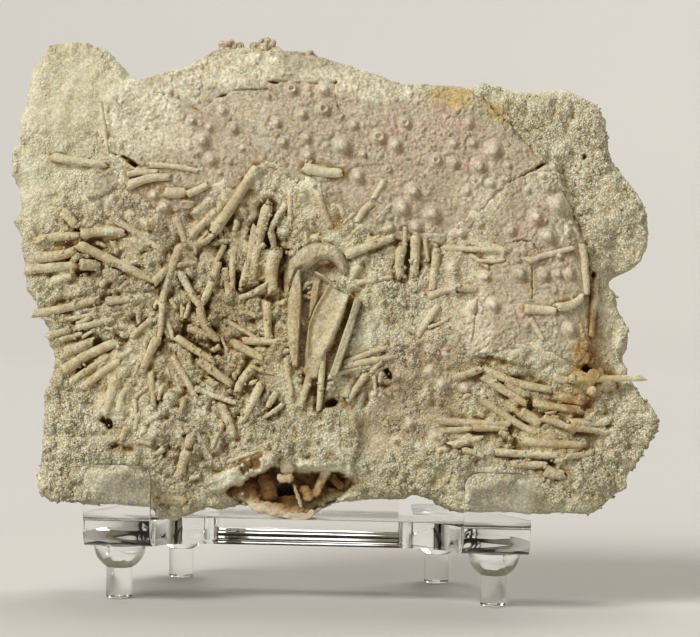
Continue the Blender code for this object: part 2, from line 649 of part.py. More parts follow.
def foot_mesh(collection):
    """A round foot: a half ball under the sheet, with a peg below it."""
    top_z = DECK_BOTTOM_Z - GAP
    shoulder = math.asin(PEG_RADIUS / FOOT_RADIUS)
    profile = [(0, top_z)]
    for step in range(FOOT_ARC_STEPS + 1):
        angle = math.pi / 2 + (shoulder - math.pi / 2) * step / FOOT_ARC_STEPS
        profile.append((FOOT_RADIUS * math.sin(angle), top_z - FOOT_RADIUS * math.cos(angle)))
    profile += [(PEG_RADIUS, PEG_EDGE), (PEG_RADIUS - PEG_EDGE, 0), (0, 0)]
    shape = bmesh.new()
    corners = [shape.verts.new((radius, 0, z)) for radius, z in profile]
    for start, end in zip(corners, corners[1:]):
        shape.edges.new((start, end))
    mesh = bpy.data.meshes.new("foot")
    shape.to_mesh(mesh)
    shape.free()
    return modified(
        mesh, "SCREW", collection, axis="Z", angle=math.tau, steps=FOOT_SIDES, render_steps=FOOT_SIDES,
        use_merge_vertices=True, merge_threshold=WELD,
    )


def feet(parts, surface):
    places = {
        "foot_front_left": (STAND_X - HOOK_SPACING / 2, FRONT_FOOT_Y),
        "foot_front_right": (STAND_X + HOOK_SPACING / 2, FRONT_FOOT_Y),
        "foot_rear_left": (STAND_X - REAR_FOOT_SPACING / 2, REAR_FOOT_Y),
        "foot_rear_right": (STAND_X + REAR_FOOT_SPACING / 2, REAR_FOOT_Y),
    }
    mesh = foot_mesh(parts)
    mesh.shade_smooth()
    mesh.set_sharp_from_angle(angle=math.radians(35))
    mesh.materials.append(surface)
    for name, (x, y) in places.items():
        foot = add_object(name, mesh, parts)
        foot.location = (x, y, 0)


def centre_on_origin(parts):
    """Moves every piece, so that the origin is at the bottom centre of their common box."""
    bpy.context.view_layer.update()
    corners = [piece.matrix_world @ vert.co for piece in parts.objects for vert in piece.data.vertices]
    shift = Vector((
        (min(c.x for c in corners) + max(c.x for c in corners)) / 2,
        (min(c.y for c in corners) + max(c.y for c in corners)) / 2,
        min(c.z for c in corners),
    ))
    for piece in parts.objects:
        piece.location -= shift


def main():
    for leftover in list(bpy.data.objects):
        bpy.data.objects.remove(leftover)
    parts = bpy.data.collections.new("fossil_echinoderm")
    cutters = bpy.data.collections.new("cutters")
    for collection in (parts, cutters):
        bpy.context.scene.collection.children.link(collection)
    stone = material("limestone", ROCK_COLOUR, ROCK_MATTNESS)
    acrylic = material("clear_acrylic", ACRYLIC_COLOUR, ACRYLIC_MATTNESS, transmission=1.0)
    fossil_slab(parts, cutters, stone)
    stand_base(parts, acrylic)
    feet(parts, acrylic)
    centre_on_origin(parts)


main()
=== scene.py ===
"""A fossil sea urchin on its limestone slab, upright on a clear bent-sheet stand: the finished surfaces,
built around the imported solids.

Lengths are in metres unless a name says otherwise. Places on the slab's face are named lists in pixels of
the camera's view, and on_slab() turns them into metres. Rises of the face are in millimetres.
"""

import math

import bmesh
import bpy
import numpy as np
from mathutils import Matrix, Vector, noise


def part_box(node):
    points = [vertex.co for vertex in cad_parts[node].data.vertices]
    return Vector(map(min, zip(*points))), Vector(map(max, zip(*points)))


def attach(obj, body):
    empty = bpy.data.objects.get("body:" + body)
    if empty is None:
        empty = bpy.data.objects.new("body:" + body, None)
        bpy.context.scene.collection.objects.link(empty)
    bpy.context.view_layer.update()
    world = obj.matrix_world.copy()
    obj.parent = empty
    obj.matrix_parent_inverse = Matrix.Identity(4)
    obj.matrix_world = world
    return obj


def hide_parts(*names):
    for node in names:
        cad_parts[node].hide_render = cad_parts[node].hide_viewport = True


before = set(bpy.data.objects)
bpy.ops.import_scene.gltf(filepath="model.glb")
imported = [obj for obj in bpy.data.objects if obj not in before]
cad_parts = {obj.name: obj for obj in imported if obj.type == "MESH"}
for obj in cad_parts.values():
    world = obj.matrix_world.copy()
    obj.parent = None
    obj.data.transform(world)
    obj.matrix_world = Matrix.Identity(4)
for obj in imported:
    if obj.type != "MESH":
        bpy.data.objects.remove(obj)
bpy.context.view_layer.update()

MM = 0.001

# The camera's view of the slab
VIEW_DISTANCE = 700 * MM
VIEW_ELEVATION = math.radians(1.75)
VIEW_ROLL = math.radians(1.28)
VIEW_AIM_X = 3.6 * MM
VIEW_AIM_Z = 69.4 * MM
VIEW_WIDTH_PX = 700
VIEW_HEIGHT_PX = 637
VIEW_CENTRE_PX = (350.0, 318.5)
METRES_PER_PX = 0.238 * MM
SENSOR_MM = 36.0

# Slab, as in the solids
SLAB_THICKNESS = 28 * MM
SLAB_FRONT_Y = 8.6 * MM
SLAB_FOOT_Z = 24.5 * MM
SLAB_LEAN = math.radians(5.5)
SLAB_LOWEST_Z = 20.1 * MM
EDGE_ROUND = 3.5 * MM
WALL_ROUGHNESS = 1.6 * MM
BACK_ROUGHNESS = 2.4 * MM
SEAT_ROUGHNESS = 0.8 * MM
ROCK_GRAIN = 14 * MM
RIDGE_SIZE = 8 * MM
RIDGE_DEPTH = 2.2 * MM

# Rock mesh: voxels of the whole block, cuts across each front voxel, and the most triangles that stay
BLOCK_VOXEL = 1.25 * MM
FRONT_CUTS = 2
FRONT_BAND = 4.5 * MM
ROCK_TRIANGLES = 196000

# Stand, as in the solids but with finer arcs
SHEET = 6.35 * MM
STAND_X = -5.6 * MM
HOOK_SPACING = 91 * MM
HOOK_WIDTH = 15.9 * MM
HOOK_TOP_Z = 33.2 * MM
HOOK_CORNER = 3.5 * MM
BEND_INNER = 0.8 * MM
DECK_BOTTOM_Z = 13.2 * MM
NOTCH_Y = 15.5 * MM
NOTCH_CORNER = 13 * MM
SHOULDER_Y = 24 * MM
SHOULDER_CORNER = 8 * MM
DECK_REAR_Y = 65.5 * MM
REAR_LEG_WIDTH = 14 * MM
LEG_CORNER = 5 * MM
REST_WIDTH = 45 * MM
REST_TOP_Z = 94.5 * MM
REST_CORNER = 8 * MM
REST_GAP = 0.7 * MM
SLOT_ROUND_SHARE = 0.95
ARC_STEPS = 12
SHEET_EDGE_BEVEL = 0.3 * MM
FOOT_RADIUS = 6.35 * MM
PEG_RADIUS = 3.175 * MM
PEG_EDGE = 0.3 * MM
FOOT_SIDES = 64
FOOT_ARC_STEPS = 16
CRACK_WIDTH = 0.25 * MM
WELD = 0.001 * MM
FLOOR_GAP = 0.2 * MM

SLAB_OUTLINE_PX = [
    (10, 150), (17, 145), (19, 127), (21, 114), (27, 91), (29, 76), (33.5, 62), (42, 57), (46, 49),
    (52.5, 42), (76, 40.5), (98, 44.5), (109, 49), (114, 57), (123, 65), (129.5, 74), (141, 80),
    (152, 74), (165, 70), (179, 71), (187.5, 67), (194, 60), (208, 59), (214, 51), (223, 43),
    (230, 38), (234, 44.6), (239, 40), (242, 46), (257, 46), (259, 37), (266, 36), (270, 40),
    (277, 46), (288, 49), (299, 52), (308, 49), (315, 51), (321, 60), (335, 62), (350, 64.6),
    (366, 71), (383.5, 75), (406, 86), (424, 86), (446, 84), (464, 89), (475, 85), (484, 82.5),
    (495, 86), (511, 89), (544, 89), (551, 86), (575, 90), (587, 96), (595.5, 101.5), (602, 109),
    (607, 120), (609, 136), (611, 152), (618, 167), (627, 178.5), (636, 190), (645, 203),
    (648, 216), (651, 232), (649, 245), (642, 261), (633.5, 268), (620, 274.5), (613, 269),
    (610, 272), (612, 283), (618, 292), (619, 306), (627, 320), (632, 334), (629, 347), (625, 360),
    (629, 369), (628, 376), (638, 387), (640, 396), (651, 402), (658, 412), (661, 423), (657, 436),
    (647, 450), (638, 465), (629, 476), (627, 488), (613, 499), (602, 508), (591, 515.5),
    (578, 513), (562, 513), (544, 516), (533, 515), (500, 511), (464, 512), (448, 510), (439, 505),
    (430, 499), (417, 495), (401, 500), (383.5, 499), (368, 501), (350, 500), (335, 503),
    (321, 510), (315, 513), (309, 519), (297, 519), (283.5, 518), (268, 511), (252, 505),
    (237, 505), (221, 510), (205, 508), (192, 513), (179, 516), (167, 516), (156, 513), (148, 506),
    (115, 503), (83, 505), (65, 502), (47, 501), (37, 491), (36, 474), (40, 454), (42, 427),
    (43.5, 405), (42, 394), (48, 385), (52.5, 369), (53.6, 354), (46, 339), (48, 328), (34.6, 303),
    (24.6, 287), (23.4, 265.5), (21, 250), (20, 234), (12, 221), (20, 214), (19, 198.6), (18, 187),
    (11, 174),
]

# Broad rises and hollows of the face: centre, half width, half height (pixels), turn (degrees), rise (mm)
SWELLS_PX = [
    (320, 135, 190, 80, 8, 3.0),
    (470, 150, 90, 60, 20, 1.0),
    (535, 240, 55, 85, -15, 2.2),
    (520, 335, 85, 50, 0, 1.5),
    (325, 310, 60, 85, 8, 1.8),
    (575, 215, 13, 48, -12, -2.4),
    (614, 325, 24, 80, 0, -4.5),
    (640, 440, 40, 70, 20, -2.0),
    (230, 265, 60, 45, 0, -0.8),
    (382, 428, 26, 26, 0, -2.6),
    (285, 492, 44, 17, 0, -7.5),
    (340, 488, 26, 13, 0, -3.5),
    (371, 328, 15, 27, 10, -2.6),
    (75, 480, 70, 34, 0, -0.9),
    (70, 95, 60, 60, 0, 0.8),
    (150, 430, 60, 30, 0, 0.8),
]

# Sheets of test that end at an edge: rise (mm), then the outline in pixels
MAIN_TEST_PX = (0.9, [
    (130, 84), (190, 68), (215, 52), (300, 53), (345, 66), (400, 86), (460, 88), (478, 95),
    (520, 138), (545, 160), (500, 190), (470, 230), (440, 245), (400, 240), (350, 230), (300, 185),
    (270, 170), (210, 200), (150, 225), (130, 200), (112, 160), (107, 104),
])
RIGHT_TEST_PX = (1.3, [
    (554, 163), (506, 186), (490, 215), (495, 250), (480, 290), (455, 330), (440, 350), (470, 360),
    (540, 350), (592, 372), (590, 300), (586, 250), (573, 212), (564, 181),
])
LEFT_PLATE_PX = (0.9, [
    (112, 165), (128, 172), (128, 182), (100, 201), (88, 197), (84, 186), (100, 172),
])
CENTRE_SHELF_PX = (1.6, [
    (284, 420), (330, 408), (356, 412), (362, 440), (352, 462), (310, 470), (272, 458), (276, 436),
])
SHEETS_PX = [MAIN_TEST_PX, RIGHT_TEST_PX, LEFT_PLATE_PX, CENTRE_SHELF_PX]
SHEET_EDGE_PX = 5.0

# Spines: first end, second end and width in pixels
LEFT_SPINES_PX = [
    (36, 241, 79, 236, 10), (81, 235, 124, 233, 10), (34, 257, 77, 250, 11), (78, 245, 153, 281, 10),
    (25, 270, 80, 265, 10), (80, 265, 99, 266, 12), (118, 222, 163, 252, 7), (52, 157, 107, 165, 9),
    (128, 187, 170, 178, 9), (128, 175, 158, 172, 6), (62, 212, 76, 227, 11), (84, 221, 98, 229, 10),
    (150, 166, 198, 172, 6), (165, 193, 187, 193, 11), (188, 196, 208, 186, 8), (33, 314, 97, 299, 9),
    (106, 301, 152, 295, 8), (60, 321, 97, 315, 5), (47, 337, 72, 329, 8), (76, 328, 114, 319, 7),
    (57, 342, 82, 334, 6), (65, 352, 93, 341, 11), (63, 371, 119, 343, 11), (70, 383, 109, 356, 8),
    (82, 389, 120, 361, 9), (132, 338, 152, 319, 7), (117, 377, 104, 415, 12), (128, 388, 120, 410, 8),
    (101, 104, 107, 152, 5), (42, 317, 55, 322, 4), (77, 324, 90, 318, 5), (82, 338, 94, 330, 4),
    (118, 357, 133, 348, 6), (135, 398, 148, 387, 4), (135, 400, 136, 414, 4), (183, 202, 195, 203, 3),
    (154, 284, 169, 268, 9), (218, 465, 256, 452, 5), (53, 283, 72, 276, 9), (128, 427, 121, 440, 8),
]
CENTRE_SPINES_PX = [
    (213, 233, 257, 168, 11), (190, 236, 216, 212, 8), (199, 243, 212, 236, 7), (195, 214, 210, 201, 9),
    (175, 217, 185, 243, 8), (181, 245, 161, 308, 9), (180, 248, 197, 260, 4), (178, 266, 197, 262, 5),
    (224, 245, 214, 263, 6), (218, 263, 202, 304, 9), (256, 227, 242, 286, 9), (268, 206, 253, 279, 11),
    (286, 205, 271, 231, 7), (271, 231, 276, 250, 7), (277, 250, 273, 292, 14), (236, 245, 233, 296, 7),
    (225, 268, 229, 298, 7), (291, 190, 291, 222, 6), (304, 169, 342, 175, 11), (318, 193, 331, 229, 9),
    (384, 181, 373, 200, 6), (372, 204, 357, 223, 7), (346, 256, 394, 238, 9), (404, 250, 405, 228, 5),
    (415, 236, 414, 276, 10), (402, 247, 400, 278, 10), (425, 240, 428, 262, 5), (163, 305, 158, 345, 6),
    (158, 338, 144, 368, 9), (168, 322, 173, 340, 5), (176, 337, 215, 362, 8), (180, 272, 200, 308, 8),
    (200, 308, 218, 341, 9), (188, 328, 208, 338, 9), (199, 360, 232, 385, 9), (226, 321, 259, 340, 5),
    (234, 343, 263, 359, 9), (243, 341, 295, 345, 8), (267, 302, 268, 338, 9), (240, 298, 268, 285, 6),
    (253, 368, 237, 392, 9), (250, 366, 275, 374, 4), (195, 388, 236, 403, 6), (261, 384, 241, 423, 9),
    (172, 356, 197, 400, 7), (151, 372, 154, 407, 6), (193, 431, 188, 450, 10), (188, 450, 180, 478, 10),
    (196, 430, 212, 459, 4), (221, 405, 234, 436, 9), (223, 423, 212, 450, 6), (277, 392, 268, 407, 7),
    (286, 358, 292, 396, 6), (317, 352, 302, 405, 8), (323, 350, 319, 411, 7), (344, 363, 388, 347, 6),
    (345, 366, 398, 356, 7), (366, 375, 347, 402, 7), (359, 267, 351, 281, 9), (356, 283, 390, 278, 6),
    (161, 497, 185, 502, 11), (391, 205, 376, 220, 4), (355, 214, 343, 225, 4), (360, 228, 348, 240, 4),
    (365, 243, 380, 236, 5), (163, 385, 158, 400, 4), (207, 379, 218, 385, 7), (283, 404, 263, 418, 5),
    (328, 378, 370, 367, 5), (382, 361, 370, 373, 4), (374, 376, 376, 395, 4),
]
RIGHT_SPINES_PX = [
    (437, 250, 432, 290, 9), (443, 248, 506, 251, 6), (470, 254, 488, 268, 5), (428, 297, 457, 288, 8),
    (457, 288, 477, 290, 8), (439, 305, 417, 337, 8), (524, 310, 555, 312, 10), (555, 308, 582, 297, 9),
    (526, 263, 573, 250, 6), (582, 245, 587, 295, 8), (594, 297, 591, 337, 9), (529, 319, 542, 341, 6),
    (482, 369, 551, 389, 9), (455, 378, 482, 369, 8), (482, 376, 526, 405, 9), (484, 402, 535, 434, 8),
    (520, 412, 540, 423, 12), (533, 403, 582, 410, 8), (553, 376, 569, 380, 9), (569, 380, 645, 378, 7),
    (558, 396, 588, 400, 9), (569, 423, 609, 421, 9), (542, 418, 575, 432, 8), (566, 427, 609, 432, 7),
    (439, 421, 511, 424, 8), (441, 431, 473, 428, 7), (473, 428, 506, 428, 7), (450, 445, 482, 438, 8),
    (522, 441, 584, 445, 9), (495, 452, 564, 456, 8), (566, 456, 593, 452, 7), (511, 465, 546, 465, 8),
    (544, 470, 564, 476, 12), (477, 261, 504, 261, 4), (448, 319, 428, 328, 4), (506, 383, 526, 396, 8),
    (437, 452, 448, 450, 7), (462, 450, 484, 456, 7),
]

# Tubercles: centre and radius in pixels
TUBERCLES_PX = [
    (292, 91, 8), (324, 92, 8), (302, 116, 7), (324, 111, 8), (268, 98, 5), (223, 113, 6),
    (192, 122, 6), (210, 129, 5), (234, 130, 7), (203, 142, 9), (211, 161, 8), (277, 125, 6),
    (283, 144, 6), (307, 140, 6), (154, 196, 6), (165, 207, 7), (147, 224, 7), (343, 148, 11),
    (308, 157, 8), (354, 127, 6), (358, 178, 8), (379, 139, 9), (395, 147, 8), (405, 125, 7),
    (436, 162, 7), (453, 146, 6), (472, 145, 6), (493, 152, 10), (478, 168, 9), (453, 165, 7),
    (490, 185, 6), (466, 193, 6), (413, 193, 9), (402, 209, 10), (432, 215, 10), (416, 228, 8),
    (390, 228, 6), (558, 206, 11), (535, 219, 9), (547, 238, 10), (510, 232, 7), (554, 167, 5),
    (558, 257, 6), (519, 275, 9), (543, 276, 8), (557, 275, 6), (569, 275, 7),
    (484, 277, 7), (453, 268, 7), (472, 308, 7), (493, 306, 8), (570, 330, 8), (445, 355, 7),
    (430, 372, 7), (410, 423, 7), (465, 389, 6), (593, 390, 7), (170, 94, 5), (230, 163, 4),
    (220, 174, 4), (243, 150, 4), (199, 103, 3), (259, 184, 4), (243, 211, 5), (130, 214, 5),
    (108, 205, 5), (285, 233, 4), (363, 156, 5), (388, 171, 5), (433, 134, 3), (468, 125, 6),
    (507, 167, 5), (526, 192, 5), (542, 178, 5), (461, 234, 6), (435, 436, 7), (483, 394, 5),
    (442, 385, 6), (411, 362, 5), (426, 398, 9), (396, 440, 6), (421, 447, 6), (372, 395, 5),
]
CRATERS_PX = [(292, 91), (324, 111), (379, 139), (405, 125), (436, 162), (388, 171)]

KNOBS_PX = [
    (229, 43, 4.5), (234, 47, 4), (240, 45, 3.5), (261, 42, 4.5), (267, 41, 4), (265, 47, 5.5), (308, 55, 5.5),
    (300, 55, 3.5), (188.6, 431, 5), (198, 475, 4), (284, 244, 5), (139, 247, 5), (125, 371, 5), (111, 275, 7),
    (163, 512, 7), (174, 511, 8), (186, 508, 6), (389, 458, 5), (405, 464, 4), (255, 44, 5), (272, 44, 4.5),
    (223, 46, 4.5), (583, 346, 6), (591, 362, 5), (594, 375, 6), (571, 378, 5), (592, 391, 5), (581, 400, 5),
    (599, 386, 4), (343, 284, 4.5), (566, 231, 6), (570, 224, 4),
]

# Cracks of the face: depth (mm), half width (pixels), then the path in pixels
CRACKS_PX = [
    (0.8, 1.2, [(482, 97), (497, 116), (515, 129), (521, 138)]),
    (0.5, 1.0, [(470, 100), (458, 115)]),
    (0.7, 1.2, [(272, 82), (304, 85), (335, 84), (337, 103), (341, 114)]),
    (0.6, 1.0, [(318, 62), (325, 75)]),
    (0.8, 1.4, [(268, 91), (237, 92), (221, 98), (208, 107)]),
    (0.6, 1.0, [(156, 94), (174, 97), (205, 116)]),
    (0.4, 1.0, [(270, 132), (285, 128)]),
    (0.8, 1.2, [(531, 268), (532, 303)]),
    (0.9, 1.2, [(514, 243), (522, 241), (531, 242), (538, 252)]),
    (0.7, 1.0, [(562, 192), (571, 206), (576, 220)]),
    (0.8, 1.2, [(586, 376), (594, 384), (604, 383)]),
    (0.8, 1.2, [(404, 331), (419, 338)]),
    (0.8, 1.4, [(389, 420), (393, 435), (405, 447), (404, 455)]),
    (1.0, 1.5, [(66, 392), (72, 412)]),
    (1.2, 1.6, [(590, 345), (585, 355), (577, 362)]),
    (0.7, 1.2, [(616, 416), (638, 412)]),
    (0.5, 0.8, [(109, 108), (111, 128), (109, 150)]),
    (0.5, 1.0, [(478, 300), (474, 330), (470, 346)]),
    (0.4, 0.8, [(463, 349), (490, 354), (520, 348)]),
    (1.2, 1.2, [(140, 253), (148, 252), (157, 255)]),
    (0.9, 1.0, [(160, 391), (162, 402)]),
    (0.5, 1.0, [(572, 172), (578, 190), (580, 212)]),
    (2.0, 1.4, [(111, 155), (119, 156), (127, 159), (134, 164), (139, 168)]),
]

# Holes in the face: centre, half width, half height (pixels), turn (degrees), depth (mm)
HOLES_PX = [
    (132, 163, 7, 1.8, 36, 5.0),
    (105, 420, 4.5, 2.8, 10, 3.5),
    (109, 424, 3, 4.5, 0, 3.5),
    (287, 288, 4, 5, 0, 3.0),
    (388, 373, 2.4, 7, -32, 4.0),
    (331, 403, 6, 4, -15, 4.0),
    (584, 157, 2, 2, 0, 2.5),
    (540, 167, 6, 1.1, -30, 1.8),
    (594, 274, 2, 3, 20, 3.0),
    (587, 368, 5, 4, 30, 3.0),
    (284, 492, 12, 11, 0, 7.0),
    (337, 480, 10, 9, 0, 3.0),
    (274, 84, 5, 1.2, 10, 1.4),
    (336, 84, 1.5, 1.5, 0, 1.0),
    (224, 97, 4, 1.4, -15, 1.4),
    (114, 446, 5, 3, 0, 1.2),
    (128, 449, 6, 3, 10, 1.2),
]

# Parts of the face by their grain: centre, half width, half height (pixels), turn (degrees), strength
COARSE_PX = [
    (600, 190, 50, 90, -15, 1.0), (560, 120, 60, 30, 10, 0.8), (60, 440, 40, 80, 0, 1.0),
    (120, 480, 90, 36, 0, 0.9), (620, 450, 60, 70, 0, 0.9), (315, 440, 48, 34, 0, 1.0),
    (402, 307, 20, 22, 0, 1.0), (450, 480, 120, 34, 0, 0.8), (55, 215, 50, 26, 10, 0.7),
    (70, 300, 50, 60, 0, 0.6), (230, 300, 110, 90, 0, 0.7), (220, 430, 80, 60, 0, 0.8),
    (160, 205, 50, 40, 0, 0.5), (430, 370, 60, 40, 0, 0.8), (415, 430, 40, 30, 0, 0.6),
]
SMOOTH_PX = [
    (72, 100, 48, 60, 0, 0.8), (40, 180, 24, 50, 0, 0.6), (608, 320, 22, 80, 0, 0.1), (380, 428, 22, 24, 0, 0.3),
    (115, 488, 38, 28, 0, 0.6), (500, 493, 38, 28, 0, 0.6), (150, 90, 50, 26, 20, 0.5),
    (300, 66, 60, 16, 5, 0.4), (228, 215, 34, 40, 0, 0.7), (205, 250, 18, 16, 0, 0.7),
    (600, 150, 40, 90, -15, 0.2), (520, 330, 70, 30, 0, 0.4), (242, 473, 40, 11, -27, 0.9),
    (325, 467, 30, 7, 5, 0.8),
]
# Ledges of crust round the hollow at the foot: rise (mm), then the outline in pixels
CRUSTS_PX = [
    (2.4, [
        (203, 486), (213, 476), (225, 470), (241, 461), (256, 455), (269, 451), (281, 456), (276, 464),
        (266, 470), (256, 475), (249, 479), (246, 485), (238, 486), (230, 488), (219, 493), (209, 491),
    ]),
    (2.0, [
        (296, 465), (310, 460), (323, 458), (337, 462), (351, 467), (356, 476), (347, 477), (335, 472),
        (323, 470), (311, 473), (300, 472),
    ]),
    (1.0, [
        (316, 507), (330, 501), (343, 494), (352, 487), (364, 488), (360, 499), (345, 504), (334, 507),
        (322, 512),
    ]),
]
PITTED_PX = [(430, 140, 44, 40, 20, 1.0), (400, 180, 30, 24, 0, 0.6), (500, 130, 24, 30, 0, 0.5)]
CEMENT_PX = [
    (122, 128, 18, 46, 0, 1.0), (150, 214, 40, 22, 0, 0.9), (215, 196, 60, 20, -10, 0.9),
    (290, 186, 40, 22, 20, 0.9), (350, 226, 50, 24, 15, 0.9), (430, 246, 50, 16, 0, 0.9),
    (470, 228, 24, 30, 40, 0.8), (452, 345, 30, 20, 0, 0.9), (520, 354, 60, 14, 0, 0.9), (190, 66, 60, 12, 0, 0.6),
]
CAVITY_PX = [
    (224, 491), (240, 483), (256, 475), (268, 468), (280, 467), (300, 473), (325, 472), (344, 477), (352, 485),
    (345, 495), (333, 504), (320, 509), (306, 514), (284, 513), (262, 507), (240, 502), (228, 498),
]
LOOSE_PX = [
    (240, 300, 100, 110, 0, 1.0), (110, 300, 70, 80, 0, 0.8), (200, 410, 90, 70, 0, 0.8),
    (520, 425, 90, 50, 10, 0.6), (400, 255, 50, 34, 0, 0.7), (350, 380, 50, 36, 0, 0.9),
]

# Colours of the face: centre, half width, half height (pixels), turn (degrees), strength
PINK_PX = [
    (430, 145, 70, 45, 10, 0.9), (330, 130, 70, 50, 0, 0.5), (200, 150, 60, 50, 0, 0.45),
    (540, 235, 40, 60, -10, 0.7), (440, 210, 60, 30, 0, 0.6), (480, 300, 70, 50, 0, 0.55),
    (420, 390, 60, 60, 0, 0.5), (160, 200, 50, 40, 0, 0.5), (380, 160, 40, 60, 0, 0.6),
    (262, 42, 18, 9, 0, 1.1), (232, 42, 12, 9, 0, 1.1), (593, 390, 8, 8, 0, 1.2), (189, 431, 6, 6, 0, 1.0),
    (524, 252, 12, 10, 0, 1.2), (535, 219, 9, 9, 0, 1.3), (570, 275, 7, 6, 0, 1.3), (308, 54, 8, 6, 0, 0.9),
    (285, 511, 34, 8, 8, 1.1),
]
OCHRE_PX = [
    (450, 97, 24, 14, 0, 1.0), (496, 112, 18, 10, 35, 0.9), (90, 250, 50, 20, 0, 0.35),
    (250, 330, 90, 60, 0, 0.45), (110, 380, 60, 30, 0, 0.3), (520, 420, 70, 40, 0, 0.35),
    (531, 285, 3, 18, 0, 0.8), (590, 366, 26, 42, 0, 1.1), (575, 408, 36, 20, 0, 0.8),
]
RUST_PX = [
    (591, 322, 8, 26, 0, 0.9), (592, 365, 14, 14, 0, 0.9), (583, 403, 22, 9, 0, 0.9), (594, 374, 8, 8, 0, 1.2),
    (325, 268, 12, 6, 0, 1.0), (278, 496, 32, 8, 0, 1.0), (336, 484, 12, 9, 0, 0.9), (124, 448, 16, 5, 0, 0.8),
    (570, 440, 30, 16, 0, 0.3), (132, 163, 7, 3, 30, 1.0), (588, 350, 16, 10, 0, 0.9), (588, 404, 28, 6, 0, 1.0),
]
# Brown patches: partly earthy staining, partly painted shade on faces turned from the light and in sunk spots.
EARTH_AND_SHADE_PX = [
    (610, 325, 20, 76, 0, 0.15), (380, 428, 24, 26, 0, 0.4), (425, 385, 50, 46, 0, 0.4), (285, 488, 56, 16, 0, 0.6),
    (240, 215, 24, 36, 0, 0.5), (208, 250, 18, 14, 0, 0.6), (150, 215, 40, 20, 0, 0.3),
    (575, 215, 10, 40, -12, 0.4), (305, 330, 8, 50, 0, 0.8), (400, 390, 20, 20, 0, 0.5), (225, 330, 30, 50, 0, 0.4),
    (595, 300, 10, 30, 0, 0.5), (110, 285, 40, 20, 0, 0.3), (205, 245, 40, 40, 0, 0.35), (330, 215, 30, 20, 0, 0.3),
    (75, 100, 46, 56, 0, 0.22),
]
# Pale patches. The two at (115, 486) and (500, 492), behind the clear hooks, are painted light that makes up for the
# shadow of the hooks.
PALE_PX = [
    (478, 320, 16, 30, 5, 0.7), (70, 190, 30, 30, 0, 0.3), (230, 70, 70, 20, -5, 0.9), (300, 440, 30, 20, 0, 0.3),
    (520, 455, 40, 12, 0, 0.3), (115, 486, 36, 26, 0, 1.2), (500, 492, 36, 26, 0, 1.2), (150, 120, 44, 40, 0, 0.8),
    (360, 85, 70, 16, 8, 0.8), (250, 110, 30, 14, 0, 0.4), (540, 180, 16, 24, 20, 0.6), (480, 190, 30, 16, 0, 0.4),
    (600, 180, 50, 90, -15, 1.1), (630, 430, 36, 56, 0, 1.2), (610, 320, 16, 50, 0, 0.8), (240, 472, 36, 9, -27, 1.0),
    (325, 466, 28, 5, 5, 0.9), (60, 180, 30, 30, 0, 0.3), (60, 450, 36, 50, 0, 0.8),
]

ARCH_PX = [
    (287, 285), (287, 272), (289, 261), (294.3, 255.5), (299, 250.5), (305, 246.5), (311, 244), (317, 242.8),
    (323, 242.8), (329, 243.8), (335, 245.8), (340, 249), (344, 256), (348, 264), (348, 272), (344, 276),
    (339, 272), (335.8, 266.5), (332, 262.5), (328, 260.6), (322, 261), (318, 263), (313, 267), (307, 269.5),
    (302, 273), (299, 278), (298, 285), (293, 287),
]
ARCH_RIDGE_PX = [(329, 246), (327, 254)]
ARCH_CRACK_PX = [(295, 255), (299, 261)]
ARCH_LIMB_CRACK_PX = [(302, 268), (297, 270), (292, 281), (289, 297)]
LEFT_BLADE_PX = [
    (298, 270), (301, 271), (302, 300), (300, 334), (298, 367), (293, 367), (290, 354), (287, 327),
    (289, 295), (295, 272),
]
MIDDLE_PLATE_PX = [
    (329, 284), (345, 294), (350, 296), (343, 318), (334, 340), (326, 353), (321, 366), (318, 378),
    (308, 380), (303, 372), (304, 354), (308, 327), (315, 308), (324, 294),
]
LEFT_STRIP_PX = [(313, 283), (321, 280), (318, 300), (311, 318), (307, 322), (309, 300)]
PLATE_LEFT_RIDGE_PX = [(329, 285), (318, 302), (310, 320), (307, 328), (305, 354)]
PLATE_RIGHT_RIDGE_PX = [(350, 294), (344, 306), (337, 323), (331, 338), (323, 354)]
DEEP_GROOVE_PX = [(353, 294), (346, 318), (337, 342), (330, 356)]
SIDE_GROOVE_PX = [(304, 276), (307, 300), (305, 325), (303, 365)]
TOOTH_PX = [(357, 303), (348, 332), (334, 374)]
STICK_PX = [(317, 273), (336, 288)]
JAW_REGION_PX = [
    (283, 292), (283, 262), (292, 248), (304, 239), (320, 236), (338, 240), (352, 252), (358, 266),
    (366, 282), (367, 304), (361, 325), (353, 350), (345, 372), (336, 384), (322, 387), (308, 386),
    (290, 376), (284, 350),
]

# What hangs over and lies in the hollow at the foot: half width (pixels), thickness as a share of it, how far
# the two ends stand out (mm), and the path in pixels
HOLLOW_PARTS_PX = {
    "neck": (7.5, 0.8, -0.4, -1.0, [(286, 454), (287, 474)]),
    "knob": (4.2, 0.8, 0.2, 0.2, [(277, 479), (294, 478)]),
    "blade": (1.6, 0.9, -1.0, 0.3, [(293, 484), (298, 496), (302, 507)]),
    "bone": (4.5, 0.7, -1.2, -1.8, [(327, 470), (321, 482), (314, 497)]),
    "left_lump": (8.0, 0.6, -3.6, -3.8, [(262, 474), (267, 487), (272, 500)]),
    "left_column": (8.0, 0.6, -3.2, -3.0, [(244, 482), (250, 494), (256, 506)]),
    "pale_lump": (6.0, 0.6, -2.0, -1.4, [(303, 486), (310, 500)]),
    "pit_bar": (4.5, 0.7, -2.6, -3.0, [(331, 476), (343, 488)]),
    "floor_slab": (7.0, 0.4, -5.6, -5.2, [(256, 500), (278, 503), (300, 502)]),
    "plate_face": (5.0, 0.3, -3.0, -2.4, [(250, 502), (266, 506), (284, 510), (304, 510)]),
    "plate_edge": (3.2, 0.25, -1.6, -0.8, [(250, 505), (268, 510), (284, 515), (298, 517), (308, 516), (314, 510)]),
}

FRAGMENT_TRIES = 700
NOISE_TABLE = 256
GRID_X, GRID_Y = np.meshgrid(np.arange(VIEW_WIDTH_PX, dtype=float), np.arange(VIEW_HEIGHT_PX, dtype=float))


